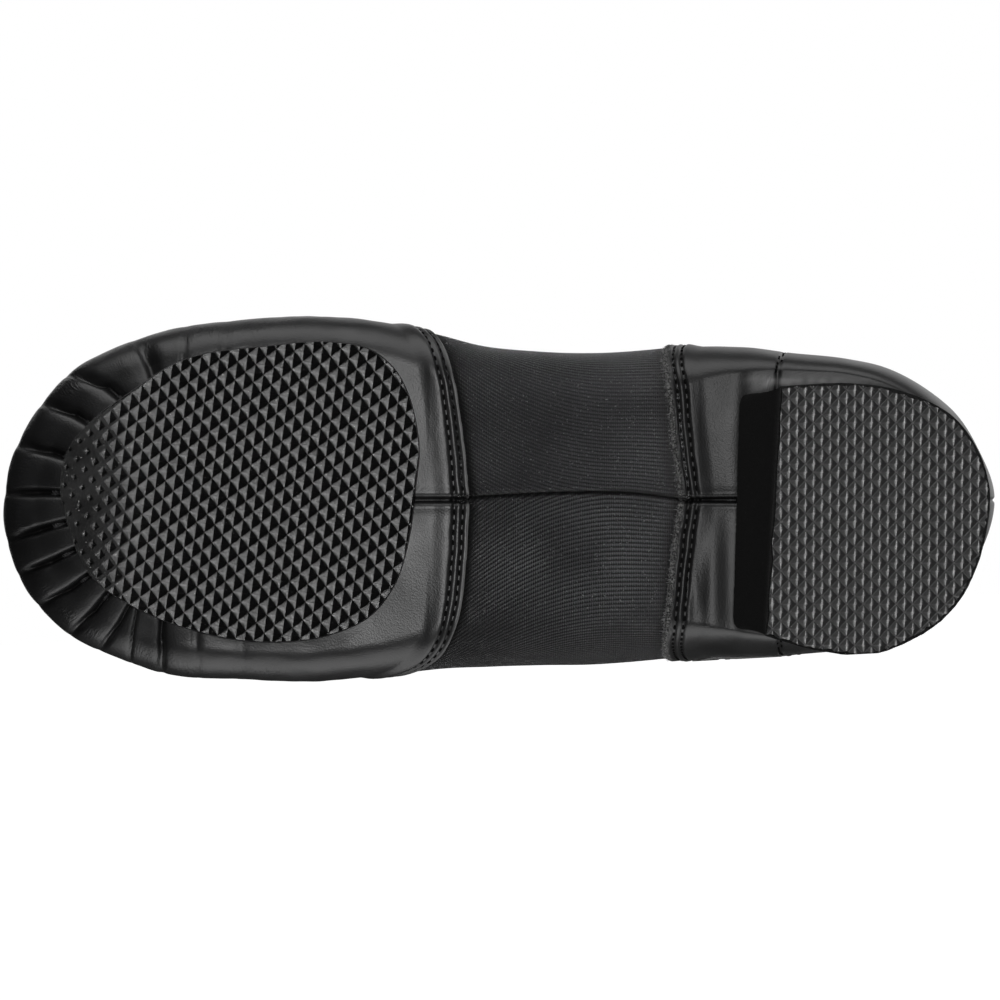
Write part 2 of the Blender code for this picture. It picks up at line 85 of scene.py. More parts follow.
# %% [markdown]
# A last is the wooden foot that a shoe is made over. Its form comes from a few sizes and from short
# tables: half widths seen from below, and for each section how flat, how swollen and how high it is.
# These are the same values that the solids have, so that what is drawn here stays where they are.

# %% The last's sizes
LENGTH = 0.245
BALL_WIDTH = 0.090
INSTEP_HEIGHT = 0.074
SIDE_HEIGHT = 0.057
BACK_HEIGHT = 0.070
HEEL_HEIGHT = 0.0125
TOE_SPRING = 0.0075
ARCH_RISE = 0.0025
WALL = 0.0018
FOREFOOT_SOLE = 0.0030
HEEL_TREAD = 0.0025
INSOLE = 0.0020
BREAST_SLANT = 0.0090
BLOCK_UNDERCUT = 0.0020
LASTING_MARGIN = 0.0090
INSOLE_CLEARANCE = 0.0015
GAP = 0.0003
SEAM_STEP = 0.0008
SEAM_BAND = 0.0050
SEAM_FADE = 0.0045
HEM_STEP = 0.0006
HEM_WIDTH = 0.0060
TOE_CENTRE = 0.180 * LENGTH
HEEL_CENTRE = 0.845 * LENGTH
ROLL_START = 0.185
ARCH_START = 0.430
ARCH_END = 0.700
THROAT = 0.498
SIDE_DIP = 0.750
FLAT_END = 0.2
WIDEST_PLACE = 0.4

print("the shoe is", round(LENGTH / MM), "mm long and", round(BALL_WIDTH / MM), "mm wide at the ball")

# %% [markdown]
# Places along the shoe are shares of its length and half widths are shares of the ball width, so the
# tables follow when a size changes. The seams have a table of their own, since each runs its own way from
# the underside up to the top edge.

# %% The last's tables
Plan = namedtuple("Plan", "along outer inner")
WIDEST = [
    Plan(0.000, -0.008, 0.008), Plan(0.006, 0.096, 0.142), Plan(0.018, 0.173, 0.222),
    Plan(0.038, 0.263, 0.299), Plan(0.068, 0.351, 0.373), Plan(0.109, 0.414, 0.425),
    Plan(0.159, 0.460, 0.474), Plan(0.229, 0.490, 0.491), Plan(0.320, 0.504, 0.496),
    Plan(0.390, 0.484, 0.478), Plan(0.440, 0.452, 0.463), Plan(0.480, 0.424, 0.459),
    Plan(0.541, 0.408, 0.456), Plan(0.601, 0.405, 0.454), Plan(0.681, 0.420, 0.437),
    Plan(0.742, 0.422, 0.434), Plan(0.802, 0.403, 0.427), Plan(0.852, 0.389, 0.413),
    Plan(0.892, 0.362, 0.388), Plan(0.928, 0.312, 0.338), Plan(0.958, 0.247, 0.270),
    Plan(0.983, 0.148, 0.165), Plan(1.000, 0.019, -0.019),
]
FOREFOOT_PLAN = [
    Plan(0.060, 0.041, -0.041), Plan(0.068, 0.137, 0.068), Plan(0.093, 0.219, 0.214),
    Plan(0.129, 0.290, 0.283), Plan(0.179, 0.376, 0.342), Plan(0.269, 0.419, 0.386),
    Plan(0.330, 0.430, 0.366), Plan(0.370, 0.409, 0.315), Plan(0.395, 0.354, 0.227),
    Plan(0.408, 0.288, 0.115), Plan(0.416, 0.205, -0.049), Plan(0.419, 0.137, -0.137),
]
OPENING = [
    Plan(0.498, 0.000, 0.000), Plan(0.505, 0.105, 0.115), Plan(0.530, 0.200, 0.230),
    Plan(0.570, 0.265, 0.320), Plan(0.630, 0.315, 0.390), Plan(0.700, 0.345, 0.430),
    Plan(0.760, 0.345, 0.431), Plan(0.820, 0.335, 0.407), Plan(0.880, 0.300, 0.355),
    Plan(0.940, 0.222, 0.262), Plan(0.975, 0.120, 0.150), Plan(0.986, 0.010, -0.010),
]
Mark = namedtuple("Mark", "along across")
HEEL_PLAN = [
    Mark(0.782, -0.307), Mark(0.852, -0.315), Mark(0.882, -0.307), Mark(0.923, -0.274),
    Mark(0.953, -0.227), Mark(0.978, -0.137), Mark(0.990, -0.030), Mark(0.986, 0.095),
    Mark(0.976, 0.190), Mark(0.958, 0.280), Mark(0.936, 0.340), Mark(0.908, 0.385),
    Mark(0.872, 0.419), Mark(0.822, 0.409), Mark(0.767, 0.368),
]
Section = namedtuple("Section", "along flat swell_outer swell_inner crest roundness")
SECTIONS = [
    Section(0.00, 0.80, 0.150, 0.150, 0.530, 2.50), Section(0.06, 0.80, 0.160, 0.160, 0.530, 2.50),
    Section(0.18, 0.81, 0.175, 0.175, 0.530, 2.40), Section(0.25, 0.82, 0.180, 0.180, 0.565, 2.20),
    Section(0.32, 0.82, 0.185, 0.185, 0.635, 2.05), Section(0.40, 0.78, 0.195, 0.200, 0.770, 1.95),
    Section(0.46, 0.68, 0.210, 0.235, 0.905, 1.88), Section(0.50, 0.62, 0.220, 0.280, 1.000, 1.85),
    Section(0.60, 0.60, 0.235, 0.400, 1.100, 1.90), Section(0.70, 0.76, 0.225, 0.440, 1.150, 2.00),
    Section(0.78, 0.86, 0.210, 0.430, 1.150, 2.00), Section(0.90, 0.88, 0.220, 0.330, 1.150, 2.00),
    Section(1.00, 0.88, 0.250, 0.250, 1.150, 2.00),
]
Seam = namedtuple("Seam", "around front_outer front_inner rear_outer rear_inner")
SEAMS = [
    Seam(0.0, 0.470, 0.470, 0.680, 0.680), Seam(0.1, 0.465, 0.467, 0.673, 0.672),
    Seam(0.2, 0.457, 0.460, 0.668, 0.667), Seam(0.3, 0.445, 0.441, 0.664, 0.664),
    Seam(0.4, 0.429, 0.400, 0.668, 0.672), Seam(0.6, 0.407, 0.389, 0.675, 0.678),
    Seam(0.8, 0.391, 0.386, 0.684, 0.686), Seam(1.0, 0.386, 0.386, 0.692, 0.692),
]
print("rows in the tables", len(WIDEST), len(OPENING), len(SECTIONS), len(SEAMS))

# %% [markdown]
# A table of a few rows becomes a soft curve when each gap is bridged by a cubic that keeps the slope at
# both ends. Working on whole arrays at once makes the same curve quick enough for a fine mesh.

# %% Soft curves through the tables
CURVE_STEPS = 27


def smooth(places, values):
    """A soft curve through a table's values, as a function of an array of places."""
    places = np.array(places, float)
    values = np.array(values, float)
    slopes = np.gradient(values, places)

    def at(place):
        place = np.clip(place, places[0], places[-1])
        i = np.clip(np.searchsorted(places, place) - 1, 0, len(places) - 2)
        span = places[i + 1] - places[i]
        t = (place - places[i]) / span
        start = (1 + 2 * t) * (1 - t) ** 2 * values[i] + t * (1 - t) ** 2 * span * slopes[i]
        end = t * t * (3 - 2 * t) * values[i + 1] + t * t * (t - 1) * span * slopes[i + 1]
        return start + end

    return at


def column(table, name):
    return smooth([row[0] for row in table], [getattr(row, name) for row in table])


def soft_curve(points, closed, steps=CURVE_STEPS):
    """The points joined by a soft curve, with more points between them."""
    points = np.array(points)
    count = len(points)
    found = []
    for i in range(count if closed else count - 1):
        if closed:
            a, b, c, d = (points[(i + k) % count] for k in (-1, 0, 1, 2))
        else:
            a, b, c, d = (points[min(max(i + k, 0), count - 1)] for k in (-1, 0, 1, 2))
        before = max(np.linalg.norm(b - a), 1e-9)
        span = np.linalg.norm(c - b)
        after = max(np.linalg.norm(d - c), 1e-9)
        leave = ((b - a) / before * span + (c - b) * before / span) / (before + span) * span
        arrive = ((c - b) / span * after + (d - c) * span / after) / (span + after) * span
        t = (np.arange(steps) / steps)[:, None]
        start = (1 + 2 * t) * (1 - t) ** 2 * b + t * (1 - t) ** 2 * leave
        end = t * t * (3 - 2 * t) * c + t * t * (t - 1) * arrive
        found.extend(start + end)
    if not closed:
        found.append(points[-1])
    return np.array(found)


# %% [markdown]
# With that curve each table becomes something to draw with: an outline seen from below, or a value that
# changes along the shoe. Two small shapes come back all through the lesson, a soft step from 0 to 1 and a
# soft bump.

# %% Outlines and small shapes


def outline(table):
    """A closed outline in real size from a table of half widths."""
    inner = [(row.along * LENGTH, row.inner * BALL_WIDTH) for row in table]
    outer = [(row.along * LENGTH, -row.outer * BALL_WIDTH) for row in table[1:-1]]
    return soft_curve(inner + outer[::-1], closed=True)


def ease(share):
    share = np.clip(share, 0.0, 1.0)
    return share * share * (3 - 2 * share)


def hump(distance, before, after):
    """A soft bump of height 1 with its own width on each side."""
    return np.exp(-((distance / np.where(distance < 0, before, after)) ** 2))


flat_share = column(SECTIONS, "flat")
swell_outer = column(SECTIONS, "swell_outer")
swell_inner = column(SECTIONS, "swell_inner")
crest_share = column(SECTIONS, "crest")
roundness = column(SECTIONS, "roundness")
seam_curves = {name: column(SEAMS, name) for name in Seam._fields[1:]}
widest_outline = outline(WIDEST)
opening_outline = outline(OPENING)
forefoot_outline = outline(FOREFOOT_PLAN)
print("outline points", len(widest_outline))

# %% [markdown]
# Seen from the side a shoe like this has a lifted toe, a flat forefoot, a raised arch and a heel seat. Its
# top edge falls from the instep to the sides and climbs again at the back.

# %% Heights along the shoe


def bottom_height(x):
    """Height of the upper's underside: toe spring, flat forefoot, arch and heel seat."""
    along = x / LENGTH
    forefoot = FOREFOOT_SOLE + GAP
    seat = HEEL_HEIGHT + GAP
    share = np.clip((along - ARCH_START) / (ARCH_END - ARCH_START), 0.0, 1.0)
    arch = (seat - forefoot) * ease(share) + ARCH_RISE * np.sin(math.pi * share)
    spring = TOE_SPRING * (np.maximum(ROLL_START - along, 0.0) / ROLL_START) ** 2
    return forefoot + arch + spring


def top_height(x):
    """Height of the crest in front of the throat and of the top edge behind it."""
    along = x / LENGTH
    crest = crest_share(along) / crest_share(THROAT) * INSTEP_HEIGHT
    dip = np.maximum(SIDE_DIP - along, 0.0) / (SIDE_DIP - THROAT)
    side = SIDE_HEIGHT + (INSTEP_HEIGHT - SIDE_HEIGHT) * dip**1.6
    back = SIDE_HEIGHT + (BACK_HEIGHT - SIDE_HEIGHT) * ease((along - SIDE_DIP) / (1 - SIDE_DIP))
    return np.where(along < THROAT, crest, np.where(along < SIDE_DIP, side, back))


print("the arch is", round(float(bottom_height(0.55 * LENGTH)) / MM, 1), "mm above the floor")

# %% [markdown]
# A section is built outwards from the centre line, so each ray has to know what it meets: the widest
# outline, the edge of the opening, and the place where a sole piece ends and the bare upper begins.

# %% How far the outlines lie from the middle


def reach(points, start, heading):
    """How far a closed outline lies from a start inside it, or 0 where the start is outside."""
    a = points - start
    b = np.roll(points, -1, axis=0) - start
    side_a = a[:, 0] * heading[1] - a[:, 1] * heading[0]
    side_b = b[:, 0] * heading[1] - b[:, 1] * heading[0]
    crossed = (side_a > 0) != (side_b > 0)
    if not crossed.any():
        return 0.0
    share = side_a[crossed] / (side_a[crossed] - side_b[crossed])
    hits = a[crossed] + share[:, None] * (b[crossed] - a[crossed])
    distances = hits @ np.array(heading)
    ahead = distances[distances > 0]
    return float(ahead.max()) if len(ahead) % 2 else 0.0


# %% [markdown]
# The heel is round behind and cut straight across in front, at what shoemakers call the breast. The foam
# block above the tread reaches further forward at its top, because its front slants.

# %% The heel's outlines


def heel_outline():
    """The heel tread's outline: a soft curve round the back, closed by the straight breast."""
    marks = [(mark.along * LENGTH, mark.across * BALL_WIDTH) for mark in HEEL_PLAN]
    back = soft_curve(marks, closed=False)
    shares = np.arange(1, CURVE_STEPS)[:, None] / CURVE_STEPS
    return np.concatenate([back, back[-1] + (back[0] - back[-1]) * shares])


def block_top_outline():
    """The heel block where it meets the shoe: undercut at the sides, further forward in front."""
    tread = heel_outline()
    middle = tread.mean(axis=0)
    outward = tread - middle
    top = middle + outward * (1 - BLOCK_UNDERCUT / np.linalg.norm(outward, axis=1))[:, None]
    on_breast = np.arange(len(tread)) >= len(tread) - CURVE_STEPS
    on_breast[0] = True
    top[on_breast, 0] = tread[on_breast, 0] - BREAST_SLANT
    return top


seat_outline = block_top_outline()
print("points round the heel seat", len(seat_outline))

# %% [markdown]
# A ray starts on the centre line and runs out to the widest outline. Above a sole piece the leather
# reaches in by the lasting margin only, and the ray leaves the middle open, as on a real shoe.

# %% What a ray meets


def window_edge(points, start, heading):
    """How far out a ray stays clear of an outline by the lasting margin, or 0 outside it."""
    full = reach(points, start, heading)
    distances = np.linspace(0.0, full, 50)
    spots = start + distances[:, None] * np.array(heading)
    gaps = np.linalg.norm(spots[:, None, :] - points[None, ::3, :], axis=2).min(axis=1)
    clear = gaps >= LASTING_MARGIN
    return float(distances[clear].max()) if full > 0 and clear[0] else 0.0


Ray = namedtuple("Ray", "half edge begin")


def cast(x, heading):
    """What one ray from the centre line meets: the widest outline, the opening, a sole's window."""
    start = np.array([x, 0.0])
    begin = max(window_edge(p, start, heading) for p in (forefoot_outline, seat_outline))
    found = (reach(points, start, heading) for points in (widest_outline, opening_outline))
    return Ray(*found, begin)


print("a ray straight across meets", cast(TOE_CENTRE, (0.0, 1.0)))

# %% [markdown]
# Between the toe's and the heel's turning centres the sections run straight across, and round the toe
# and heel they fan out like spokes. A straight section's rays are looked up in a table that is cast
# once, so that thousands of points cost no more than a few hundred.

# %% Rays for the straight part
RAY_STEP = 0.25 * MM
ray_places = np.arange(TOE_CENTRE - MM, HEEL_CENTRE + MM, RAY_STEP)
SIDES = {"inner": 1.0, "outer": -1.0}
ray_tables = {
    side: np.array([cast(x, (0.0, sign)) for x in ray_places]) for side, sign in SIDES.items()
}


def straight_rays(side, x):
    table = ray_tables[side]
    return Ray(*(np.interp(x, ray_places, table[:, k]) for k in range(3)))


print("rays cast", 2 * len(ray_places))

# %% [markdown]
# The skin is the last's whole surface in one formula. A point is named by its ray and by a number that
# runs round the section: 0 at the centre of the underside, 0.2 where the flat ends, 0.4 at the widest
# place and 1 at the crest or the top edge. Every panel of the upper is cut from this skin.

# %% The skin of the last


def skin(x0, hx, hy, ray, around):
    """Points of the upper's outside, from the underside (0) over the widest place (0.4) to the top (1)."""
    x0, hx, hy, half, edge, begin, around = np.broadcast_arrays(x0, hx, hy, *ray, around)
    wide_x = x0 + half * hx
    flat = flat_share(wide_x / LENGTH) * half
    inner_share = (1 + hy) / 2
    swell = INSTEP_HEIGHT * (
        inner_share * swell_inner(wide_x / LENGTH) + (1 - inner_share) * swell_outer(wide_x / LENGTH)
    )
    turn = np.clip((around - FLAT_END) / (WIDEST_PLACE - FLAT_END), 0, 1) * math.pi / 2
    on_flat = begin + (flat - begin) * np.minimum(around / FLAT_END, 1.0)
    distance = np.where(around <= FLAT_END, on_flat, flat + (half - flat) * np.sin(turn))
    low = bottom_height(x0 + distance * hx) + swell * (1 - np.cos(turn))

    power = 2 / roundness(x0 / LENGTH)
    end_angle = np.arccos(np.minimum((edge / half) ** (1 / power), 0.999))
    angle = np.clip((around - WIDEST_PLACE) / (1 - WIDEST_PLACE), 0, 1) * end_angle
    upper_distance = half * np.maximum(np.cos(angle), 0.0) ** power
    share = (np.sin(angle) / np.sin(end_angle)) ** power
    edge_x = x0 + edge * hx
    start = bottom_height(wide_x) + swell
    slope = (top_height(x0 + GAP) - top_height(x0 - GAP)) / (2 * GAP)
    tilt = np.where(edge == 0, slope * (upper_distance * hx) * share**2, 0.0)
    high = start + (top_height(edge_x) - start) * share + tilt

    above = around > WIDEST_PLACE
    distance = np.where(above, upper_distance, distance)
    return np.stack([x0 + distance * hx, distance * hy, np.where(above, high, low)], axis=-1)


def seam_place(name, side, around):
    return seam_curves[f"{name}_{side}"](around) * LENGTH


def side_skin(side, x, around):
    """Skin points on straight sections, where x may differ from point to point."""
    x, around = np.broadcast_arrays(x, around)
    ray = straight_rays(side, x)
    if x.ndim == 2:
        ray = ray._replace(begin=np.broadcast_to(ray.begin[:, :1], x.shape))
    return skin(x, 0.0, SIDES[side], ray, around)


# %% [markdown]
# A panel is a grid of points: columns go along the shoe and rows go round it. Beside its place each point
# keeps a few numbers, such as how far along the shoe and how far round the section it lies, so that seams
# and creases can be placed by them.

# %% Panels as grids
Grid = namedtuple("Grid", "points x around round_place edge")


def straight_grid(side, x, around):
    """Columns on straight sections; round_place is the distance round the toe's rim and past it."""
    around = np.broadcast_to(around, x.shape)
    past = math.pi / 2 * TOE_CENTRE + x - TOE_CENTRE
    edge = straight_rays(side, x).edge
    return Grid(side_skin(side, x, around), x, around, SIDES[side] * past, edge)


def fan_grid(centre, angles, around):
    """Spokes round a turning centre; an angle of 0 points away from the shoe's middle."""
    outward = -1.0 if centre < HEEL_CENTRE else 1.0
    shape = (len(angles), len(around))
    headings = [(outward * math.cos(t), math.sin(t)) for t in angles]
    rays = np.array([cast(centre, heading) for heading in headings])
    hx, hy = (np.array([h[k] for h in headings])[:, None] for k in (0, 1))
    ray = Ray(*(rays[:, k][:, None] for k in range(3)))
    around = np.broadcast_to(around, shape)
    points = skin(centre, hx, hy, ray, around)
    x = np.full(shape, centre)
    place = np.broadcast_to(np.array(angles)[:, None] * TOE_CENTRE, shape)
    return Grid(points, x, around, place, np.broadcast_to(ray.edge, shape))


# %% [markdown]
# Grids are joined end to end. Points that fall together, as at the crest, are welded, so that the surface
# has no crack and shades smoothly. The faces are then turned outwards, and each point's normal says which
# way a crease or a seam can push it.

# %% Joining, welding and facing


def joined(*grids):
    return Grid(*(np.concatenate(parts) for parts in zip(*grids)))


def between(first, last, shares):
    """Rows of x from the line first to the line last."""
    shares = np.asarray(shares)[:, None]
    return (1 - shares) * first[None, :] + shares * last[None, :]


def weld(points):
    """Grid points that fall together become one: the points, and each grid point's number."""
    flat = points.reshape(-1, 3)
    keys = np.round(flat / (0.002 * MM)).astype(np.int64)
    _, first, number = np.unique(keys, axis=0, return_index=True, return_inverse=True)
    return flat[first], number.reshape(points.shape[:2]), first


def grid_faces(number, closed=False):
    """Quads between neighbours in a grid of point numbers, as triangles where corners fall together."""
    after = np.roll(number, -1, axis=0) if closed else number[1:]
    here = number if closed else number[:-1]
    corners = np.stack([here[:, :-1], after[:, :-1], after[:, 1:], here[:, 1:]], axis=-1)
    faces = []
    for quad in corners.reshape(-1, 4).tolist():
        face = [c for k, c in enumerate(quad) if c != quad[k - 1]]
        if len(set(face)) > 2:
            faces.append(face)
    return faces


def point_normals(points, faces):
    quads = np.array([face + face[-1:] * (4 - len(face)) for face in faces])
    a, b, c, d = (points[quads[:, k]] for k in range(4))
    area = np.cross(c - a, d - b)
    normals = np.zeros_like(points)
    for k in range(4):
        np.add.at(normals, quads[:, k], area)
    return normals / np.maximum(np.linalg.norm(normals, axis=1), 1e-12)[:, None]


def facing_out(points, faces):
    """The faces turned to look away from the shoe's middle, and the points' normals."""
    normals = point_normals(points, faces)
    if normals[np.argmax(points[:, 1]), 1] < 0:
        return [face[::-1] for face in faces], -normals
    return faces, normals


def run_along(points):
    """How far each point of a column lies from the column's first point, along the skin."""
    steps = np.linalg.norm(np.diff(points, axis=1), axis=2)
    return np.concatenate([np.zeros((len(steps), 1)), np.cumsum(steps, axis=1)], axis=1)


# %% [markdown]
# The top edge is folded over and sewn, so it is round and as thick as the wall. More rows of points after
# the last one make that roll. It grows from nothing at the throat's corner, where the two sides meet and
# there is no room for it yet.

# %% The rolled top edge
THROAT_GROWS = 4 * MM
ROLL_ROWS = 6
INSIDE_ROWS = 7


def rolled_edge(points, normals, edge, thickness, depth):
    """More rows past the top edge: over the rim in a half circle and down the inside."""
    top = points[:, -1]
    along = np.gradient(top, axis=0)
    out = normals[:, -1]
    up = np.cross(along, out)
    up /= np.maximum(np.linalg.norm(up, axis=1), 1e-9)[:, None]
    up *= np.sign((up * (top - points[:, -3])).sum(axis=1))[:, None]
    grown = np.clip(edge[:, -1] / THROAT_GROWS, 0, 1)[:, None]
    rows = []
    for angle in np.linspace(0, math.pi, ROLL_ROWS)[1:]:
        inward = -out * thickness / 2 * (1 - math.cos(angle))
        rows.append(inward + up * thickness / 2 * math.sin(angle))
    for share in np.linspace(0, 1, INSIDE_ROWS)[1:]:
        rows.append(-out * thickness - up * depth * share)
    return np.stack([top + grown * row for row in rows], axis=1)


print("rows in the roll", ROLL_ROWS + INSIDE_ROWS - 2)


# %% [markdown]
# Every piece is made the same way at the end: its mesh is turned from the shoe's axes into the frame, it
# rides on the one body, it takes its finish, and the solid that it stands for, where one is named, is
# hidden.

# %% Making a piece
pieces = []


def add_piece(name, points, faces, material, replaces=None, values=(), maps=(), sharp=None):
    """A mesh object in the frame, with numbers for each point and maps (u, v) in metres."""
    mesh = bpy.data.meshes.new(name)
    mesh.from_pydata([tuple(p) for p in points], [], faces)
    mesh.validate()
    for title, numbers in dict(values).items():
        attribute = mesh.attributes.new(title, "FLOAT", "POINT")
        attribute.data.foreach_set("value", np.asarray(numbers, np.float32))
    corners = np.array([loop.vertex_index for loop in mesh.loops])
    for title, places in dict(maps).items():
        layer = mesh.uv_layers.new(name=title)
        layer.uv.foreach_set("vector", np.asarray(places, np.float32)[corners].ravel())
    mesh.transform(shoe)
    mesh.shade_smooth()
    if sharp is not None:
        mesh.set_sharp_from_angle(angle=math.radians(sharp))
    mesh.materials.append(material)
    piece = bpy.data.objects.new(name, mesh)
    bpy.context.scene.collection.objects.link(piece)
    pieces.append(piece)
    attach(piece, "root")
    if replaces:
        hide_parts(replaces)
    print(f"{name}: {sum(len(p.vertices) - 2 for p in mesh.polygons)} triangles")
    return piece


def add_panel(name, grid, lift, material, values, maps, rim=None):
    """A panel of the upper: the last's skin, pushed out by lift, with its rim turned in."""
    points, number, _ = weld(grid.points)
    _, normals = facing_out(points, grid_faces(number))
    moved = grid.points + normals[number] * lift[..., None]
    if rim is not None:
        extra = rolled_edge(moved, normals[number], grid.edge, *rim)
        moved = np.concatenate([moved, extra], axis=1)
        rows = extra.shape[1]
        values = {k: np.concatenate([v, np.repeat(v[:, -1:], rows, 1)], 1) for k, v in values.items()}
        maps = {k: np.concatenate([m, np.repeat(m[:, -1:], rows, 1)], 1) for k, m in maps.items()}
    points, number, first = weld(moved)
    faces, _ = facing_out(points, grid_faces(number))
    values = {k: v.reshape(-1)[first] for k, v in values.items()}
    maps = {k: m.reshape(-1, 2)[first] for k, m in maps.items()}
    return add_piece(name, points, faces, material, None, values, maps)


# %% [markdown]
# Black things are never one black. Materials here start from a Principled shader, and small helpers add
# what each needs: cloudy colour, a grain in the bump, and numbers read from the mesh that say where it is
# worn or given a painted highlight, where painted shade darkens a trough or groove, and where it is
# crinkled or raw. Noise in object coordinates keeps its real scale without an unwrap.

# %% Greys


def grey(value):
    return (value, value, value)


def shaded(colour, share):
    return tuple(share * c for c in colour)


# %% [markdown]
# A finish is a tree of nodes, and writing one link by link is long. So a small class keeps the tree and
# its shader at hand, and each of its methods adds one kind of node and gives back its output.

# %% Material helpers


class Finish:
    """A material with short ways to add and link nodes."""

    def __init__(self, name, colour, roughness, specular=0.5):
        self.material = bpy.data.materials.new(name)
        self.material.use_nodes = True
        self.tree = self.material.node_tree
        self.shader = self.tree.nodes["Principled BSDF"]
        self.shader.inputs["Base Color"].default_value = (*colour, 1.0)
        self.shader.inputs["Roughness"].default_value = roughness
        self.shader.inputs["Specular IOR Level"].default_value = specular

    def node(self, kind, **settings):
        made = self.tree.nodes.new(kind)
        for name, value in settings.items():
            setattr(made, name, value)
        return made

    def link(self, value, socket):
        """Links an output, or sets a plain number, on an input."""
        if isinstance(value, bpy.types.NodeSocket):
            self.tree.links.new(value, socket)
        else:
            socket.default_value = value

    def math(self, operation, *values):
        made = self.node("ShaderNodeMath", operation=operation)
        for value, socket in zip(values, made.inputs):
            self.link(value, socket)
        return made.outputs[0]

    def number(self, name):
        return self.node("ShaderNodeAttribute", attribute_name=name).outputs["Fac"]

    def place(self, scale, uv=None):
        """Object coordinates or a named map, times one scale or three, in features per metre."""
        if uv:
            source = self.node("ShaderNodeUVMap", uv_map=uv).outputs["UV"]
        else:
            source = self.node("ShaderNodeTexCoord").outputs["Object"]
        mapping = self.node("ShaderNodeMapping")
        self.link(source, mapping.inputs["Vector"])
        mapping.inputs["Scale"].default_value = scale if isinstance(scale, tuple) else grey(scale)
        return mapping.outputs["Vector"]

    def noise(self, where, detail=2.0, roughness=0.5):
        made = self.node("ShaderNodeTexNoise")
        made.inputs["Scale"].default_value = 1.0
        made.inputs["Detail"].default_value = detail
        made.inputs["Roughness"].default_value = roughness
        self.link(where, made.inputs["Vector"])
        return made.outputs["Fac"]

    def cells(self, where):
        made = self.node("ShaderNodeTexVoronoi")
        made.inputs["Scale"].default_value = 1.0
        self.link(where, made.inputs["Vector"])
        return made.outputs["Distance"]

    def span(self, value, low, high, to_low=0.0, to_high=1.0):
        made = self.node("ShaderNodeMapRange")
        for number, socket in zip((value, low, high, to_low, to_high), made.inputs):
            self.link(number, socket)
        return made.outputs["Result"]

    def mix(self, share, first, second):
        """A colour between two colours."""
        made = self.node("ShaderNodeMix", data_type="RGBA")
        self.link(share, made.inputs["Factor"])
        for colour, socket in ((first, made.inputs[6]), (second, made.inputs[7])):
            self.link(colour if isinstance(colour, bpy.types.NodeSocket) else (*colour, 1.0), socket)
        return made.outputs[2]

    def bump(self, height, distance, under=None):
        made = self.node("ShaderNodeBump")
        made.inputs["Strength"].default_value = 1.0
        made.inputs["Distance"].default_value = distance
        self.link(height, made.inputs["Height"])
        if under is not None:
            self.link(under, made.inputs["Normal"])
        return made.outputs["Normal"]

    def finish(self, colour=None, roughness=None, normal=None):
        for value, name in ((colour, "Base Color"), (roughness, "Roughness"), (normal, "Normal")):
            if value is not None:
                self.link(value, self.shader.inputs[name])
        return self.material


# %% [markdown]
# Shoe leather is dyed through and lightly glazed. Under a lens its grain is a net of tiny cells, it
# crinkles across where it was gathered, and a cut edge shows paler fibres. All of that is bump and
# colour, and the mesh keeps the real folds. Scales are in features per metre, so 2300 is a cell of 0.4 mm.

# %% Leather
GRAIN_SCALE = 2300
PORE_SCALE = 2600
CLOUD_SCALE = 70
CREASE_SCALE = (1000, 230, 1)
GRAIN_HEIGHT = 0.03 * MM
CRINKLE_HEIGHT = 0.12 * MM
FIBRE_HEIGHT = 0.7 * MM
CUT_DARK, CUT_PALE = grey(0.010), (0.260, 0.260, 0.255)


def leather(name, colour):
    f = Finish(name, colour, 0.42, 0.45)
    grain = f.cells(f.place(GRAIN_SCALE))
    pores = f.noise(f.place(PORE_SCALE), 3.0)
    clouds = f.noise(f.place(CLOUD_SCALE), 3.0)
    raw = f.number("raw")
    fibres = f.noise(f.place(GRAIN_SCALE), 4.0, 0.7)
    creases = f.noise(f.place(CREASE_SCALE, "hide"), 1.5, 0.5)
    sharp_creases = f.math("ABSOLUTE", f.math("SUBTRACT", creases, 0.5))
    crinkle = f.math("MULTIPLY", f.span(sharp_creases, 0.0, 0.16), f.number("crinkle"))
    skin_colour = f.mix(f.span(clouds, 0.35, 0.7), colour, shaded(colour, 1.5))
    # Paler at worn edges, and a painted highlight along the cut edges and beside the heel tread.
    skin_colour = f.mix(f.number("worn"), skin_colour, grey(0.250))
    # Painted shade: the colour goes near black in the pleats' troughs, the slot, the seam grooves and the
    # fold.
    skin_colour = f.mix(f.number("deep"), skin_colour, grey(0.0012))
    cut_colour = f.mix(f.span(fibres, 0.46, 0.66), CUT_DARK, CUT_PALE)
    colour_here = f.mix(raw, skin_colour, cut_colour)
    gloss = f.math("ADD", f.span(clouds, 0.3, 0.7, 0.37, 0.45), f.math("MULTIPLY", raw, 0.5))
    normal = f.bump(f.math("ADD", grain, pores), GRAIN_HEIGHT)
    normal = f.bump(crinkle, CRINKLE_HEIGHT, normal)
    normal = f.bump(f.math("MULTIPLY", fibres, raw), FIBRE_HEIGHT, normal)
    return f.finish(colour_here, gloss, normal)


vamp_leather = leather("vamp_leather", (0.0055, 0.0055, 0.0057))
heel_leather = leather("heel_leather", (0.0048, 0.0048, 0.0050))
print("leather", vamp_leather.name, heel_leather.name)

# %% [markdown]
# The arch is a stretch fabric bonded to thin foam, with fine ribs. The ribs are about a millimetre apart,
# too fine to model over the whole panel, so they are a sine in the bump, and in the colour as painted sheen
# on their tops and painted shade between them. A map laid on the mesh carries the ribs' own course, which
# bends from slanting at the vamp to straight at the heel.

# %% Stretch fabric
RIB_PITCH = 1.0 * MM
COURSE_PITCH = 0.55 * MM
RIB_HEIGHT = 0.16 * MM
COURSE_HEIGHT = 0.03 * MM
NAP_HEIGHT = 0.16 * MM
# Greys for the painted shade between the ribs and the painted sheen on their tops.
RIB_SHADE_GREY, RIB_SHEEN_GREY = (0.0030, 0.0030, 0.0032), (0.033, 0.033, 0.0335)


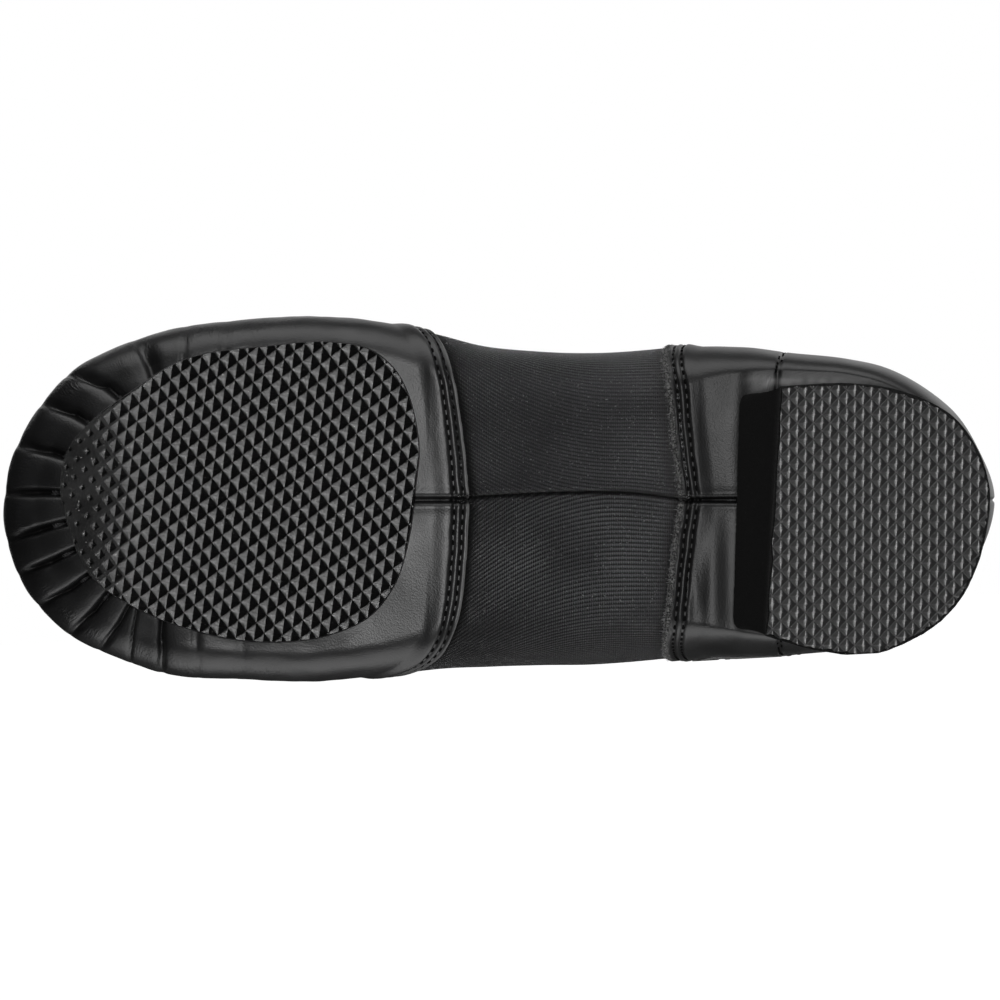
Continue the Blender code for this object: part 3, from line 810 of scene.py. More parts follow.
def ribbed_fabric():
    f = Finish("ribbed_fabric", (0.010, 0.010, 0.0105), 0.85, 0.06)
    f.shader.inputs["Sheen Weight"].default_value = 0.08
    f.shader.inputs["Sheen Roughness"].default_value = 0.4
    f.shader.inputs["Sheen Tint"].default_value = (0.55, 0.55, 0.56, 1.0)
    course = f.node("ShaderNodeSeparateXYZ")
    f.link(f.place(1, "knit"), course.inputs[0])
    along, across = course.outputs["X"], course.outputs["Y"]
    waver = f.math("MULTIPLY", f.noise(f.place(160), 2.0), 0.8)
    phase = f.math("ADD", f.math("MULTIPLY", across, 2 * math.pi / RIB_PITCH), waver)
    ribs = f.math("MULTIPLY", f.math("ADD", f.math("SINE", phase), 1.0), 0.5)
    courses = f.math("SINE", f.math("MULTIPLY", along, 2 * math.pi / COURSE_PITCH))
    shown = f.number("ribbed")
    ribs = f.math("MULTIPLY", ribs, shown)
    nap = f.noise(f.place(GRAIN_SCALE), 4.0, 0.7)
    clouds = f.noise(f.place(60), 2.0)
    weave = f.span(courses, -1.0, 1.0, 0.35, 1.0)
    # Painted sheen on the rib tops and painted shade between ribs and courses, with random clouds of tone.
    rib_sheen_and_tone = f.math("MULTIPLY", f.math("MULTIPLY", ribs, weave), f.span(clouds, 0.3, 0.7, 0.35, 1.0))
    colour = f.mix(rib_sheen_and_tone, RIB_SHADE_GREY, RIB_SHEEN_GREY)
    colour = f.mix(f.span(nap, 0.60, 0.80), colour, grey(0.12))
    # Painted shade: near black in the centre seam's groove and beside the tucked seams.
    colour = f.mix(f.number("deep"), colour, grey(0.002))
    normal = f.bump(ribs, RIB_HEIGHT)
    normal = f.bump(f.math("MULTIPLY", courses, shown), COURSE_HEIGHT, normal)
    normal = f.bump(nap, NAP_HEIGHT, normal)
    return f.finish(colour, None, normal)


stretch_fabric = ribbed_fabric()
print("ribs in a centimetre", round(10 * MM / RIB_PITCH))

# %% [markdown]
# Tread rubber is slightly dusty: the points are rubbed paler, the grooves stay dark, and tiny specks of
# floor dust cling to it. On the heel tread the ridge tops are painted much paler still, as wear and as a
# painted highlight. Where the toe is rubbed flat it shines a little more. The foam block takes the same
# finish, but rough and almost without gloss, because its cut cells swallow the light.

# %% Rubber, foam, thread and sock
RUBBER_GRAIN = 0.07 * MM
FOAM_GRAIN = 0.12 * MM
POLISH = 0.15
DUST_COLOUR = (0.22, 0.22, 0.215)


def rubber(name, low, high, grain, dust, rough=(0.31, 0.38), specular=0.5, pale_from=0.0):
    """Rubber from its low to its high grey, paler where the mesh's wear number passes the given share:
    rubbed wear, and on the heel's ridge tops a painted highlight as well.
    """
    f = Finish(name, grey(low), 0.55, specular)
    fine = f.noise(f.place(2400), 4.0, 0.6)
    clouds = f.noise(f.place(220), 3.0)
    worn = f.span(f.number("worn"), pale_from, 1.0)
    pale_share = f.math("MULTIPLY", worn, f.span(fine, 0.25, 0.7))
    colour = f.mix(pale_share, grey(low), grey(high))
    polished = f.math("MULTIPLY", f.number("polished"), POLISH)
    gloss = f.math("SUBTRACT", f.span(clouds, 0.3, 0.7, *rough), polished)
    speck = f.span(f.cells(f.place(560)), 0.10, 0.04)
    colour = f.mix(f.math("MULTIPLY", speck, dust), colour, DUST_COLOUR)
    return f.finish(colour, gloss, f.bump(fine, grain))


def plain_cloth(name, colour, pitch, relief, specular=0.2):
    """A close weave: two crossed waves in object coordinates."""
    f = Finish(name, colour, 0.9, specular)
    parts = f.node("ShaderNodeSeparateXYZ")
    f.link(f.place(2 * math.pi / pitch), parts.inputs[0])
    one = f.math("SINE", f.math("ADD", parts.outputs["X"], parts.outputs["Y"]))
    two = f.math("SINE", f.math("SUBTRACT", parts.outputs["Z"], parts.outputs["Y"]))
    weave = f.math("MULTIPLY", one, two)
    fuzz = f.noise(f.place(1500), 3.0)
    tint = f.mix(f.span(fuzz, 0.3, 0.7), shaded(colour, 0.6), shaded(colour, 1.5))
    return f.finish(tint, None, f.bump(fuzz, relief, f.bump(weave, relief)))


forefoot_rubber = rubber("forefoot_rubber", 0.003, 0.012, RUBBER_GRAIN, 0.5)
# The heel's ridge tops go up to a grey of 0.27: rubbed wear, and a painted highlight on the ridges.
heel_rubber = rubber("heel_rubber", 0.014, 0.27, RUBBER_GRAIN, 0.4, (0.42, 0.52), 0.5, 0.72)
heel_foam = rubber("heel_foam", 0.0050, 0.016, FOAM_GRAIN, 0.02, (0.9, 0.98), 0.05)
black_thread = plain_cloth("black_thread", grey(0.0025), 0.5 * MM, 0.06 * MM, 0.05)
sock_cloth = plain_cloth("sock_cloth", (0.030, 0.030, 0.031), 0.8 * MM, 0.12 * MM)
lining_cloth = plain_cloth("lining_cloth", (0.022, 0.022, 0.023), 0.9 * MM, 0.15 * MM)
print("finishes", len(bpy.data.materials))

# %% [markdown]
# A sewn seam in a soft shoe is a small landscape. The leather lies over the fabric and stands up by its
# own thickness, each row of thread pulls it down into a trough, and it swells again between the rows.
# One profile, as a function of the distance from the leather's edge, makes the whole band.

# %% The seam's profile
THREAD = 0.70 * MM
FRONT_ROWS = (1.6 * MM, 3.7 * MM)
REAR_ROWS = (2.7 * MM, 4.7 * MM)
TROUGH_DEPTH = 0.58 * MM
TROUGH_WIDTH = 0.55 * MM
EDGE_ROUND = 0.8 * MM
LIP_HEIGHT = 0.25 * MM


def seam_lift(distance, rows):
    """How far the leather stands out at a distance from its edge."""
    rounded = np.sqrt(1 - (1 - np.clip(distance / EDGE_ROUND, 0, 1)) ** 2)
    fade = 1 - ease((distance - SEAM_BAND) / SEAM_FADE)
    lift = SEAM_STEP * rounded * fade
    for row in rows:
        lift = lift - TROUGH_DEPTH * hump(distance - row, TROUGH_WIDTH, TROUGH_WIDTH)
    return lift


def centre_lift(across, width, depth):
    """The open slot where the two halves meet: rounded lips and a deep middle."""
    lips = LIP_HEIGHT * hump(across - 2.2 * width, 1.1 * width, 1.8 * width)
    return lips - depth * hump(across, width, width)


# %% [markdown]
# Nothing sewn is perfectly even. A slow noise with its own height and size is added wherever leather,
# fabric or foam gives a little. It is worked out from each point's place, so it is the same every time.

# %% Unevenness


def soft_noise(points, size, seed):
    """Slow unevenness, between about -1 and 1."""
    shift = Vector((seed, 2.3 * seed, -seed))
    flat = points.reshape(-1, 3) / size
    found = [noise.noise(Vector(p) + shift) for p in flat]
    return np.array(found).reshape(points.shape[:-1])


Wave = namedtuple("Wave", "height size seed")


def waves(points, wave):
    return wave.height * soft_noise(points, wave.size, wave.seed)


edge_height = float(seam_lift(EDGE_ROUND, FRONT_ROWS))
print("the leather's edge stands out by", round(edge_height / MM, 2), "mm")

# %% [markdown]
# Round the toe the vamp's edge is longer than the sole it is pulled under, so the spare leather is laid in
# pleats. In the photo each has its own width and slant, so they are listed one by one: where a trough
# starts at the sole and where it ends at the rim, counted in millimetres round the toe from its tip
# (negative on the outer side), how deep it is, and how soft it is on either side.

# %% The toe's pleats
Pleat = namedtuple("Pleat", "sole rim depth before after")
PLEATS = [
    Pleat(-79.8, -81.0, 0.5, 1.0, 1.8),
    Pleat(-69.5, -70.5, 0.5, 1.2, 1.2),
    Pleat(-60.0, -56.9, 1.5, 5.0, 2.0),
    Pleat(-46.5, -36.0, 2.4, 3.4, 1.5),
    Pleat(-31.0, -26.2, 2.4, 2.8, 1.4),
    Pleat(-15.8, -14.2, 2.4, 2.8, 1.6),
    Pleat(-2.6, -1.8, 2.4, 1.7, 1.7),
    Pleat(8.6, 10.2, 2.3, 1.8, 1.6),
    Pleat(19.5, 19.0, 2.2, 1.5, 1.4),
    Pleat(30.4, 28.0, 2.2, 1.4, 1.4),
    Pleat(40.2, 38.8, 2.2, 1.4, 1.5),
    Pleat(49.4, 47.0, 1.3, 1.0, 1.4),
    Pleat(52.5, 56.2, 0.9, 0.6, 0.7),
    Pleat(62.3, 64.3, 1.6, 0.8, 1.8),
    Pleat(73.0, 73.5, 0.5, 0.8, 1.2),
    Pleat(84.0, 85.0, 0.35, 1.0, 1.2),
]
SOLE_ROW = 0.11
pleat_strength = smooth(
    [0.0, 0.10, 0.24, 0.30, 0.34, 0.40, 0.50, 0.62, 1.0],
    [1, 1, 1, 0.75, 0.35, 0.08, 0.04, 0, 0],
)
NARROW, WIDE = 0.62, 1.8
NARROW_SHARE = 0.7
FULL_DEPTH = 1.5
PUFF = 0.9 * MM
PLEATED_LENGTH = 72 * MM
PLEATS_FADE = 14 * MM
print("pleats", len(PLEATS))


def pleat_lift(grid):
    """Troughs and the puffed leather between them, and a number that is 1 deep in a trough, used to paint
    shade into it.
    """
    share = (grid.around - SOLE_ROW) / (WIDEST_PLACE - SOLE_ROW)
    strength = pleat_strength(grid.around)
    trough = np.zeros_like(grid.x)
    depth = np.zeros_like(grid.x)
    for pleat in PLEATS:
        middle = (pleat.sole + (pleat.rim - pleat.sole) * np.clip(share, -0.5, 1.6)) * MM
        apart = grid.round_place - middle
        narrow = hump(apart, NARROW * pleat.before * MM, NARROW * pleat.after * MM)
        wide = hump(apart, WIDE * pleat.before * MM, WIDE * pleat.after * MM)
        valley = NARROW_SHARE * narrow + (1 - NARROW_SHARE) * wide
        trough = np.maximum(trough, narrow * min(pleat.depth / FULL_DEPTH, 1.0))
        depth = np.maximum(depth, valley * pleat.depth * MM)
    gathered = 1 - ease((np.abs(grid.round_place) - PLEATED_LENGTH) / PLEATS_FADE)
    return strength * (PUFF * gathered * (1 - trough) - depth), strength * trough


# %% [markdown]
# Both leather parts run from a seam on the inner side, round an end of the shoe, to the seam on the
# outer side. Their columns crowd together in the sewn band and their rows at the centre slot, because
# that is where small things happen. The first column is there twice: one copy drops to the fabric below
# and so makes the cut edge of the leather.

# %% Rows round the upper
under_rows = FLAT_END * np.linspace(0, 1, 31) ** 1.6
turn_rows = np.linspace(FLAT_END, WIDEST_PLACE, 31)[1:]
upper_rows = np.linspace(WIDEST_PLACE, 1.0, 66)[1:]
leather_rows = np.concatenate([under_rows, turn_rows, upper_rows])
BAND = SEAM_BAND + SEAM_FADE
band_steps = np.linspace(0, BAND, 37)
SLOT_WIDTH = 0.70 * MM
SLOT_DEPTH = 1.5 * MM
EDGE_DROP = -1.3 * MM
print("rows in the leather", len(leather_rows))

# %% [markdown]
# With these rows a leather part is three grids joined: straight columns on the inner side, a fan round the
# toe or the heel, and straight columns back on the outer side. How far each point lies from the seam is
# kept as well, because the seam's profile and the worn edge both need it.

# %% A leather part as a grid


def leather_side(name, side, centre, columns):
    """Columns from a seam's cut edge to the turning centre of the toe or the heel."""
    seam = seam_place(name, side, leather_rows)
    inward = -1 if name == "front" else 1
    edge = np.stack([seam] + [seam + inward * step for step in band_steps])
    goal = np.full(len(leather_rows), centre)
    rest = between(seam + inward * BAND, goal, np.linspace(0, 1, columns)[1:-1])
    return straight_grid(side, np.concatenate([edge, rest]), leather_rows)


def leather_grid(name, centre, columns, degrees):
    """A leather part as one grid, and how far its points lie from its seam (1 m round the end)."""
    inner, outer = (leather_side(name, side, centre, columns) for side in ("inner", "outer"))
    end = fan_grid(centre, np.radians(degrees), leather_rows)
    grid = joined(inner, end, Grid(*(part[::-1] for part in outer)))
    sign = 1 if name == "front" else -1
    near = [sign * (seam_place(name, side, part.around) - part.x)
            for side, part in (("inner", inner), ("outer", outer))]
    distance = np.full(grid.x.shape, 1.0)
    distance[:len(near[0])] = near[0]
    distance[-len(near[1]):] = near[1][::-1]
    return grid, distance


def slot_share(grid, start, end):
    """1 where the centre slot shows, on the underside between two places along the shoe."""
    on = ease((grid.x - start) / (3 * MM)) * (1 - ease((grid.x - end) / (2 * MM)))
    return np.where(grid.around <= FLAT_END, on, 0.0)


def hide_map(grid):
    """Metres round the shoe and along each section, as a map for the leather's creases."""
    return np.stack([grid.round_place, run_along(grid.points)], axis=-1)


# %% [markdown]
# The vamp takes its height over the last from several layers added up: the seam's profile, the pleats, the
# centre slot, a rounder lower edge than the hard last has, and slow waves away from the seam. The same
# layers tell the material where the leather is crinkled, where painted shade darkens a trough or the slot,
# and where its cut edge is painted pale, as wear and as a painted highlight.

# %% The vamp
VAMP_WANDER = Wave(0.22 * MM, 3.5 * MM, 12.0)
VAMP_WAVES = (Wave(0.22 * MM, 11 * MM, 3.0), Wave(0.10 * MM, 4 * MM, 8.0))
VAMP_SLOT = (92 * MM, 130 * MM)
Corner = namedtuple("Corner", "row before after")
TOE_CORNER = Corner(0.22, 0.06, 0.11)
SIDE_CORNER = Corner(0.21, 0.07, 0.09)
TOE_ROUNDING = 2.0 * MM
SIDE_ROUNDING = 0.3 * TOE_ROUNDING
ROUND_TOE = 55 * MM
ROUND_FADE = 25 * MM
CRINKLED = 90 * MM
CALM_LENGTH = 8 * MM


def off_the_seam(distance):
    return ease((distance - 2 * MM) / (6 * MM))


def on_corner(grid, corner):
    """1 on the lower edge, where the underside turns up into the side."""
    return hump(grid.around - corner.row, corner.before, corner.after)


def make_vamp():
    grid, distance = leather_grid("front", TOE_CENTRE, 66, np.linspace(90, -90, 321))
    lift = seam_lift(distance + waves(grid.points, VAMP_WANDER), FRONT_ROWS)
    pleats, trough = pleat_lift(grid)
    across = np.abs(grid.points[..., 1])
    slot = slot_share(grid, *VAMP_SLOT)
    lift += pleats + slot * centre_lift(across, SLOT_WIDTH, SLOT_DEPTH)
    round_toe = 1 - ease((np.abs(grid.round_place) - ROUND_TOE) / ROUND_FADE)
    lift -= TOE_ROUNDING * round_toe * on_corner(grid, TOE_CORNER)
    straight = off_the_seam(distance) * (1 - round_toe)
    lift -= SIDE_ROUNDING * straight * on_corner(grid, SIDE_CORNER)
    calm = ease((distance - BAND) / CALM_LENGTH)
    lift += calm * sum(waves(grid.points, wave) for wave in VAMP_WAVES)
    lift[[0, -1]] = EDGE_DROP
    near_toe = 1 - ease((np.abs(grid.round_place) - CRINKLED) / (12 * MM))
    patches = np.clip(0.5 + 1.6 * soft_noise(grid.points, 9 * MM, 5.0), 0, 1)
    crinkle = 0.6 * ease((grid.around - 0.24) / 0.05) * (1 - ease((grid.around - 0.36) / 0.1))
    crinkle = crinkle * near_toe * patches
    # Painted shade: the pleats' troughs and the centre slot are painted near black.
    deep = np.clip(trough * 0.75, 0, 1) + 0.9 * slot * hump(across, 0.8 * MM, 0.8 * MM)
    # The cut edge at the seam is painted pale, as wear and as a painted highlight along it.
    worn = 0.5 * hump(distance - 0.2 * MM, 0.35 * MM, 0.35 * MM)
    numbers = {"crinkle": crinkle * calm, "deep": np.clip(deep, 0, 1), "worn": worn}
    return add_panel("vamp", grid, lift, vamp_leather, numbers, {"hide": hide_map(grid)})


vamp = make_vamp()

# %% [markdown]
# The stretch panel runs from the sole's centre line up both sides and over the instep, where its top
# edge makes the throat. It is tucked under the leather in front and behind, and its two halves meet in a
# stitched groove below. That seam isn't quite straight in the photo, so the rows near it are shifted
# sideways to follow it.

# %% The stretch panel
TUCK = 3.0 * MM
TUCK_DEPTH = 0.45 * MM
GROOVE_DEPTH = 0.8 * MM
TICK_PITCH = 1.1 * MM
FABRIC_WAVE = Wave(0.16 * MM, 12 * MM, 1.0)
RIB_BEND = (0.100, 0.152)
arch_rows = np.concatenate([under_rows, turn_rows[1::2], np.linspace(WIDEST_PLACE, 1, 46)[1:]])
centre_seam = smooth(
    [0.112, 0.1155, 0.138, 0.154, 0.168, 0.176],
    [-0.7 * MM, -0.9 * MM, -2.0 * MM, -2.0 * MM, -0.4 * MM, 0.0],
)


def arch_side(side):
    """Columns crowd at the throat, where the top edge turns across the shoe."""
    front = seam_place("front", side, arch_rows) - TUCK
    rear = seam_place("rear", side, arch_rows) + TUCK
    throat = np.full(len(arch_rows), THROAT * LENGTH)
    before = between(front, throat, np.linspace(0, 1, 41)[:-1])
    after = between(throat, rear, np.linspace(0, 1, 71) ** 1.8)
    return straight_grid(side, np.concatenate([before, after]), arch_rows)


def shift_to_seam(grid):
    """Moves the underside's points sideways so that the first row follows the centre seam."""
    share = np.clip(1 - grid.around / FLAT_END, 0, 1)
    moved = grid.points.copy()
    moved[..., 1] += centre_seam(grid.points[..., 0]) * share
    return grid._replace(points=moved)


# %% [markdown]
# The panel itself is plain. It sinks a little where it is tucked under, has a groove with small ticks
# where its halves are sewn, and has a hem along the top edge. Both sides are made by one function.

# %% Making the stretch panel


def knit_map(grid, run):
    """The ribs' own course: slanting at the vamp, straight at the heel."""
    start, end = RIB_BEND
    t = np.clip((grid.x - start) / (end - start), 0, 1)
    return np.stack([grid.x, run + (end - start) * (t - t * t / 2)], axis=-1)


def make_arch(side):
    grid = arch_side(side)
    run = run_along(grid.points)
    knit = knit_map(grid, run)
    front = seam_place("front", side, grid.around)
    rear = seam_place("rear", side, grid.around)
    tucked = ease((front + 0.4 * MM - grid.x) / (0.8 * MM))
    tucked += ease((grid.x - rear + 0.4 * MM) / (0.8 * MM))
    near = hump(grid.x - front, MM, 1.6 * MM) + hump(grid.x - rear, 2.2 * MM, MM)
    grid = shift_to_seam(grid)
    groove = hump(run, 0.5 * MM, 0.5 * MM)
    ticks = 0.5 + 0.5 * np.sin(grid.x * 2 * math.pi / TICK_PITCH)
    lift = -TUCK_DEPTH * tucked - GROOVE_DEPTH * groove * (0.7 + 0.3 * ticks)
    lift += 0.12 * MM * hump(run - 1.6 * MM, 0.8 * MM, 1.4 * MM)
    lift += waves(grid.points, FABRIC_WAVE) * (1 - np.clip(near, 0, 1))
    to_edge = np.linalg.norm(grid.points[:, -1:, :] - grid.points, axis=2)
    hem = 1 - ease((to_edge - HEM_WIDTH) / (0.15 * HEM_WIDTH))
    lift += HEM_STEP * hem * (grid.edge[:, -1:] > 0)
    ribbed = (1 - 0.75 * ease((grid.around - 0.24) / 0.12)) * (0.75 if side == "outer" else 1.0)
    # The groove and the fabric beside the tucked seams get painted shade.
    numbers = {"ribbed": ribbed, "deep": np.clip(1.2 * groove + 0.8 * near, 0, 1)}
    rim = (WALL, HEM_WIDTH)
    return add_panel(f"arch_{side}", grid, lift, stretch_fabric, numbers, {"knit": knit}, rim)


arch_outer = make_arch("outer")
arch_inner = make_arch("inner")

# %% [markdown]
# The heel part is one leather panel round the back of the foot, closed by a short seam at the back. It is
# laid over the stretch fabric with a raw edge, whose cut fibres look grey, and it has soft dents beside
# the heel block where it was pulled under. Its own forms come first, each as a small function.

# %% The heel part's own forms
Dent = namedtuple("Dent", "along across length width depth")
DENTS = [
    Dent(0.720, -0.16, 0.020, 0.18, 0.7),
    Dent(0.695, 0.25, 0.009, 0.10, 0.8),
    Dent(0.714, 0.20, 0.011, 0.17, -0.6),
    Dent(0.700, -0.33, 0.020, 0.07, -0.3),
    Dent(0.745, 0.33, 0.020, 0.06, 0.4),
]
HEEL_CORNER = Corner(0.20, 0.11, 0.09)
CORNER_DROP = 0.45 * MM
RAW_EDGE = 1.5 * MM
BLOCK_FRONT = 0.7376
BLOCK_SLANT = 0.022
FOLD_DEPTH = 0.6 * MM
BACK_SEAM_WIDTH = 0.45 * MM
BACK_SEAM_DEPTH = 0.55 * MM
SIDE_SEAM_WIDTH = 0.5 * MM
SIDE_SEAM_DEPTH = 0.6 * MM
REAR_WANDER = Wave(0.25 * MM, 3.5 * MM, 13.0)
REAR_WAVE = Wave(0.2 * MM, 14 * MM, 6.0)
REAR_SLOT = (165 * MM, 200 * MM)
SLOT_SPREAD = 6
SPREAD_FROM = 0.168
# Where the painted highlight strip lies beside the heel tread.
HIGHLIGHT_LINE = -0.3235
HIGHLIGHT_FROM, HIGHLIGHT_TO = 180 * MM, 203 * MM
SIDE_SEAM = smooth([0.0, 0.2, 0.4, 1.0], [0.7785, 0.780, 0.7875, 0.835])


def side_seam_place(around):
    return SIDE_SEAM(around) * LENGTH


def raw_edge(distance, ragged):
    """1 on the cut edge, ending in a ragged line."""
    return 1 - ease((distance + 0.5 * MM * ragged - 0.75 * RAW_EDGE) / (0.4 * RAW_EDGE))


def dents(points, under):
    """The soft hollows and swellings beside the heel block."""
    lift = np.zeros(points.shape[:-1])
    for dent in DENTS:
        a = (points[..., 0] / LENGTH - dent.along) / dent.length
        b = (points[..., 1] / BALL_WIDTH - dent.across) / dent.width
        lift -= under * dent.depth * MM * np.exp(-(a * a + b * b))
    return lift


def seam_grooves(grid):
    """How far round the heel a point lies from the back seam, and 1 in the seam on each side."""
    behind = grid.points[..., 0] > HEEL_CENTRE
    spoke = np.where(behind, np.arctan2(grid.points[..., 1], grid.points[..., 0] - HEEL_CENTRE), 1.0)
    arc = np.abs(spoke) * (LENGTH - HEEL_CENTRE)
    to_side = grid.x - side_seam_place(grid.around)
    on_straight = (np.abs(spoke) >= 1.0) & (grid.x < HEEL_CENTRE)
    return arc, np.where(on_straight, hump(to_side, SIDE_SEAM_WIDTH, SIDE_SEAM_WIDTH), 0.0)


def highlight_strip(grid):
    """A painted highlight: a pale line on the leather beside the outer edge of the heel tread, where the
    curved leather catches the light.
    """
    along, across = grid.points[..., 0], grid.points[..., 1]
    beside = across - HIGHLIGHT_LINE * BALL_WIDTH
    shown = ease((along - HIGHLIGHT_FROM) / (8 * MM)) * (1 - ease((along - HIGHLIGHT_TO) / (12 * MM)))
    patchy = 0.6 + 0.5 * soft_noise(grid.points, 2 * MM, 4.0)
    return hump(beside, 0.9 * MM, 0.9 * MM) * shown * (grid.around < WIDEST_PLACE) * patchy


# %% [markdown]
# Then the forms are added up much as on the vamp: the seam, the raw edge, the slot, the dents and the fold,
# the rounded lower edge, the short seams and the hem. This piece stands for the solid upper, so that solid
# is hidden.

# %% The heel part
FURRY = 0.32 * MM
PARED = 0.12 * MM


def make_heel_part():
    degrees = np.concatenate([np.linspace(90, 5, 95), np.linspace(4.4, -4.4, 25), np.linspace(-5, -90, 95)])
    grid, distance = leather_grid("rear", HEEL_CENTRE, 81, degrees)
    points = grid.points
    lift = seam_lift(distance + waves(points, REAR_WANDER), REAR_ROWS)
    ragged = soft_noise(points, 0.9 * MM, 2.0)
    raw = raw_edge(distance, ragged)
    lift += raw * FURRY * ragged - PARED * raw
    across = np.abs(points[..., 1])
    slot = slot_share(grid, *REAR_SLOT)
    slot_width = SLOT_WIDTH * (0.9 + SLOT_SPREAD * (grid.x - SPREAD_FROM))
    lift += slot * centre_lift(across, slot_width, SLOT_DEPTH)
    under = 1 - ease((grid.around - 0.14) / 0.34)
    lift += dents(points, under)
    ahead = BLOCK_FRONT * LENGTH - BLOCK_SLANT * points[..., 1] - 0.3 * MM
    fold = under * hump(points[..., 0] - ahead, 3.4 * MM, 2.5 * MM)
    lift -= FOLD_DEPTH * fold
    lift -= CORNER_DROP * off_the_seam(distance) * on_corner(grid, HEEL_CORNER)
    arc, side_groove = seam_grooves(grid)
    lift -= BACK_SEAM_DEPTH * hump(arc, BACK_SEAM_WIDTH, BACK_SEAM_WIDTH)
    lift -= SIDE_SEAM_DEPTH * side_groove
    to_edge = np.linalg.norm(points[:, -1:, :] - points, axis=2)
    lift += HEM_STEP * (1 - ease((to_edge - HEM_WIDTH) / (0.15 * HEM_WIDTH)))
    lift += ease((distance - BAND) / CALM_LENGTH) * waves(points, REAR_WAVE)
    lift[[0, -1]] = EDGE_DROP
    # Painted shade in the slot, the back and side seam grooves and the fold by the heel block.
    deep = 0.9 * slot * hump(across, 0.9 * MM, 0.9 * MM) + 0.8 * hump(arc, 0.3 * MM, 0.3 * MM)
    deep += 0.8 * side_groove + 0.6 * fold
    # Pale at the collar's edge from wear, plus a painted highlight strip beside the heel tread.
    worn = 0.25 * hump(to_edge, MM, MM) + highlight_strip(grid)
    numbers = {"deep": np.clip(deep, 0, 1), "worn": worn, "raw": raw}
    rim = (WALL, HEM_WIDTH)
    return add_panel("heel_part", grid, lift, heel_leather, numbers, {"hide": hide_map(grid)}, rim)


heel_part = make_heel_part()
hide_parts("upper")

# %% [markdown]
# Inside, a cloth lining covers the whole wall. It is the same skin moved in by the wall's thickness, a
# coarser grid because nothing small happens on it. It hangs slack in the toe and over the floor, so that
# the valleys between the pleats never reach it.

# %% The lining
TOE_SLACK = 4.5 * MM
TOE_SLACK_END = 60 * MM
FLOOR_SLACK = 2.0 * MM
LINING_DEPTH = WALL - 0.1 * MM


def make_lining():
    rows = np.concatenate([np.linspace(0, FLAT_END, 8), np.linspace(FLAT_END, WIDEST_PLACE, 10)[1:],
                           np.linspace(WIDEST_PLACE, 0.985, 22)[1:]])
    x = between(np.full(len(rows), TOE_CENTRE), np.full(len(rows), HEEL_CENTRE), np.linspace(0, 1, 81))
    inner, outer = straight_grid("inner", x, rows), straight_grid("outer", x, rows)
    toe = fan_grid(TOE_CENTRE, np.radians(np.linspace(-90, 90, 49)), rows)
    heel = fan_grid(HEEL_CENTRE, np.radians(np.linspace(90, -90, 49)), rows)
    grid = joined(toe, inner, heel, Grid(*(part[::-1] for part in outer)))
    points, number, first = weld(grid.points)
    faces, normals = facing_out(points, grid_faces(number, closed=True))
    around, along = grid.around.reshape(-1)[first], points[:, 0]
    toe_end = 1 - ease((along - TOE_SLACK_END) / (22 * MM))
    in_toe = toe_end * (1 - ease((around - 0.5) / 0.2))
    below = 1 - ease((around - 0.28) / 0.16)
    slack = np.maximum(TOE_SLACK * in_toe, FLOOR_SLACK * below)
    inside = points - normals * (LINING_DEPTH + slack)[:, None]
    return add_piece("lining", inside, [face[::-1] for face in faces], lining_cloth)


make_lining()

# %% [markdown]
# The treads are die-cut from moulded sheet, so the pattern is cut through wherever the outline falls.
# They are made the same way: a sheet of pyramids, a prism with the outline, and the part they share.
# The forefoot's sheet then bends up with the toe.

# %% A sheet of pyramids
Tread = namedtuple("Tread", "pitch turn depth tip_long tip_short")
FOREFOOT_TREAD = Tread(3.17 * MM, math.radians(37.0), 1.25 * MM, 0.06, 0.06)
HEEL_TREAD_PATTERN = Tread(2.86 * MM, math.radians(-45.0), 0.85 * MM, 0.80, 0.10)
Closed = namedtuple("Closed", "points faces")
FOOT_SHARE = 0.96
WORN_FOOT_SHARE = 0.40


def pyramid_sheet(tread, middle, radius, thickness, wear):
    """A closed sheet whose underside is a field of pyramids with small rubbed tips at height 0."""
    count = int(radius / tread.pitch) + 1
    size = 2 * count + 1
    turn = np.array([[math.cos(tread.turn), math.sin(tread.turn)],
                     [-math.sin(tread.turn), math.cos(tread.turn)]])

    def corner(i, j):
        flat = np.array([i - count - 0.5, j - count - 0.5]) * tread.pitch
        return middle + turn @ flat

    points = [(*corner(i, j), tread.depth) for i in range(size + 1) for j in range(size + 1)]
    faces = []
    for i in range(size):
        for j in range(size):
            base = [i * (size + 1) + j, (i + 1) * (size + 1) + j,
                    (i + 1) * (size + 1) + j + 1, i * (size + 1) + j + 1]
            spots = [np.array(points[k][:2]) for k in base]
            centre = sum(spots) / 4
            foot = FOOT_SHARE - wear(centre) * (FOOT_SHARE - WORN_FOOT_SHARE)
            first = len(points)
            points += [(*(centre + (spot - centre) * foot), tread.depth) for spot in spots]
            for spot in spots:
                away = (spot - centre) * foot
                tall = abs(away[1]) > abs(away[0])
                share = tread.tip_long if tall else tread.tip_short
                points.append((*(centre + away * share), tread.depth * (1 - foot)))
            feet, tips = list(range(first, first + 4)), list(range(first + 4, first + 8))
            faces.append(tips[::-1])
            for k in range(4):
                after = (k + 1) % 4
                faces.append([feet[after], feet[k], tips[k], tips[after]])
                faces.append([base[after], base[k], feet[k], feet[after]])
    rim = [i * (size + 1) for i in range(size + 1)]
    rim += [size * (size + 1) + j for j in range(1, size + 1)]
    rim += [i * (size + 1) + size for i in range(size - 1, -1, -1)]
    rim += list(range(size - 1, 0, -1))
    top = len(points)
    points += [(*points[k][:2], thickness) for k in rim]
    ring = len(rim)
    for k in range(ring):
        after = (k + 1) % ring
        faces.append([rim[k], rim[after], top + after, top + k])
    faces.append([top + k for k in range(ring)])
    return Closed(points, faces)


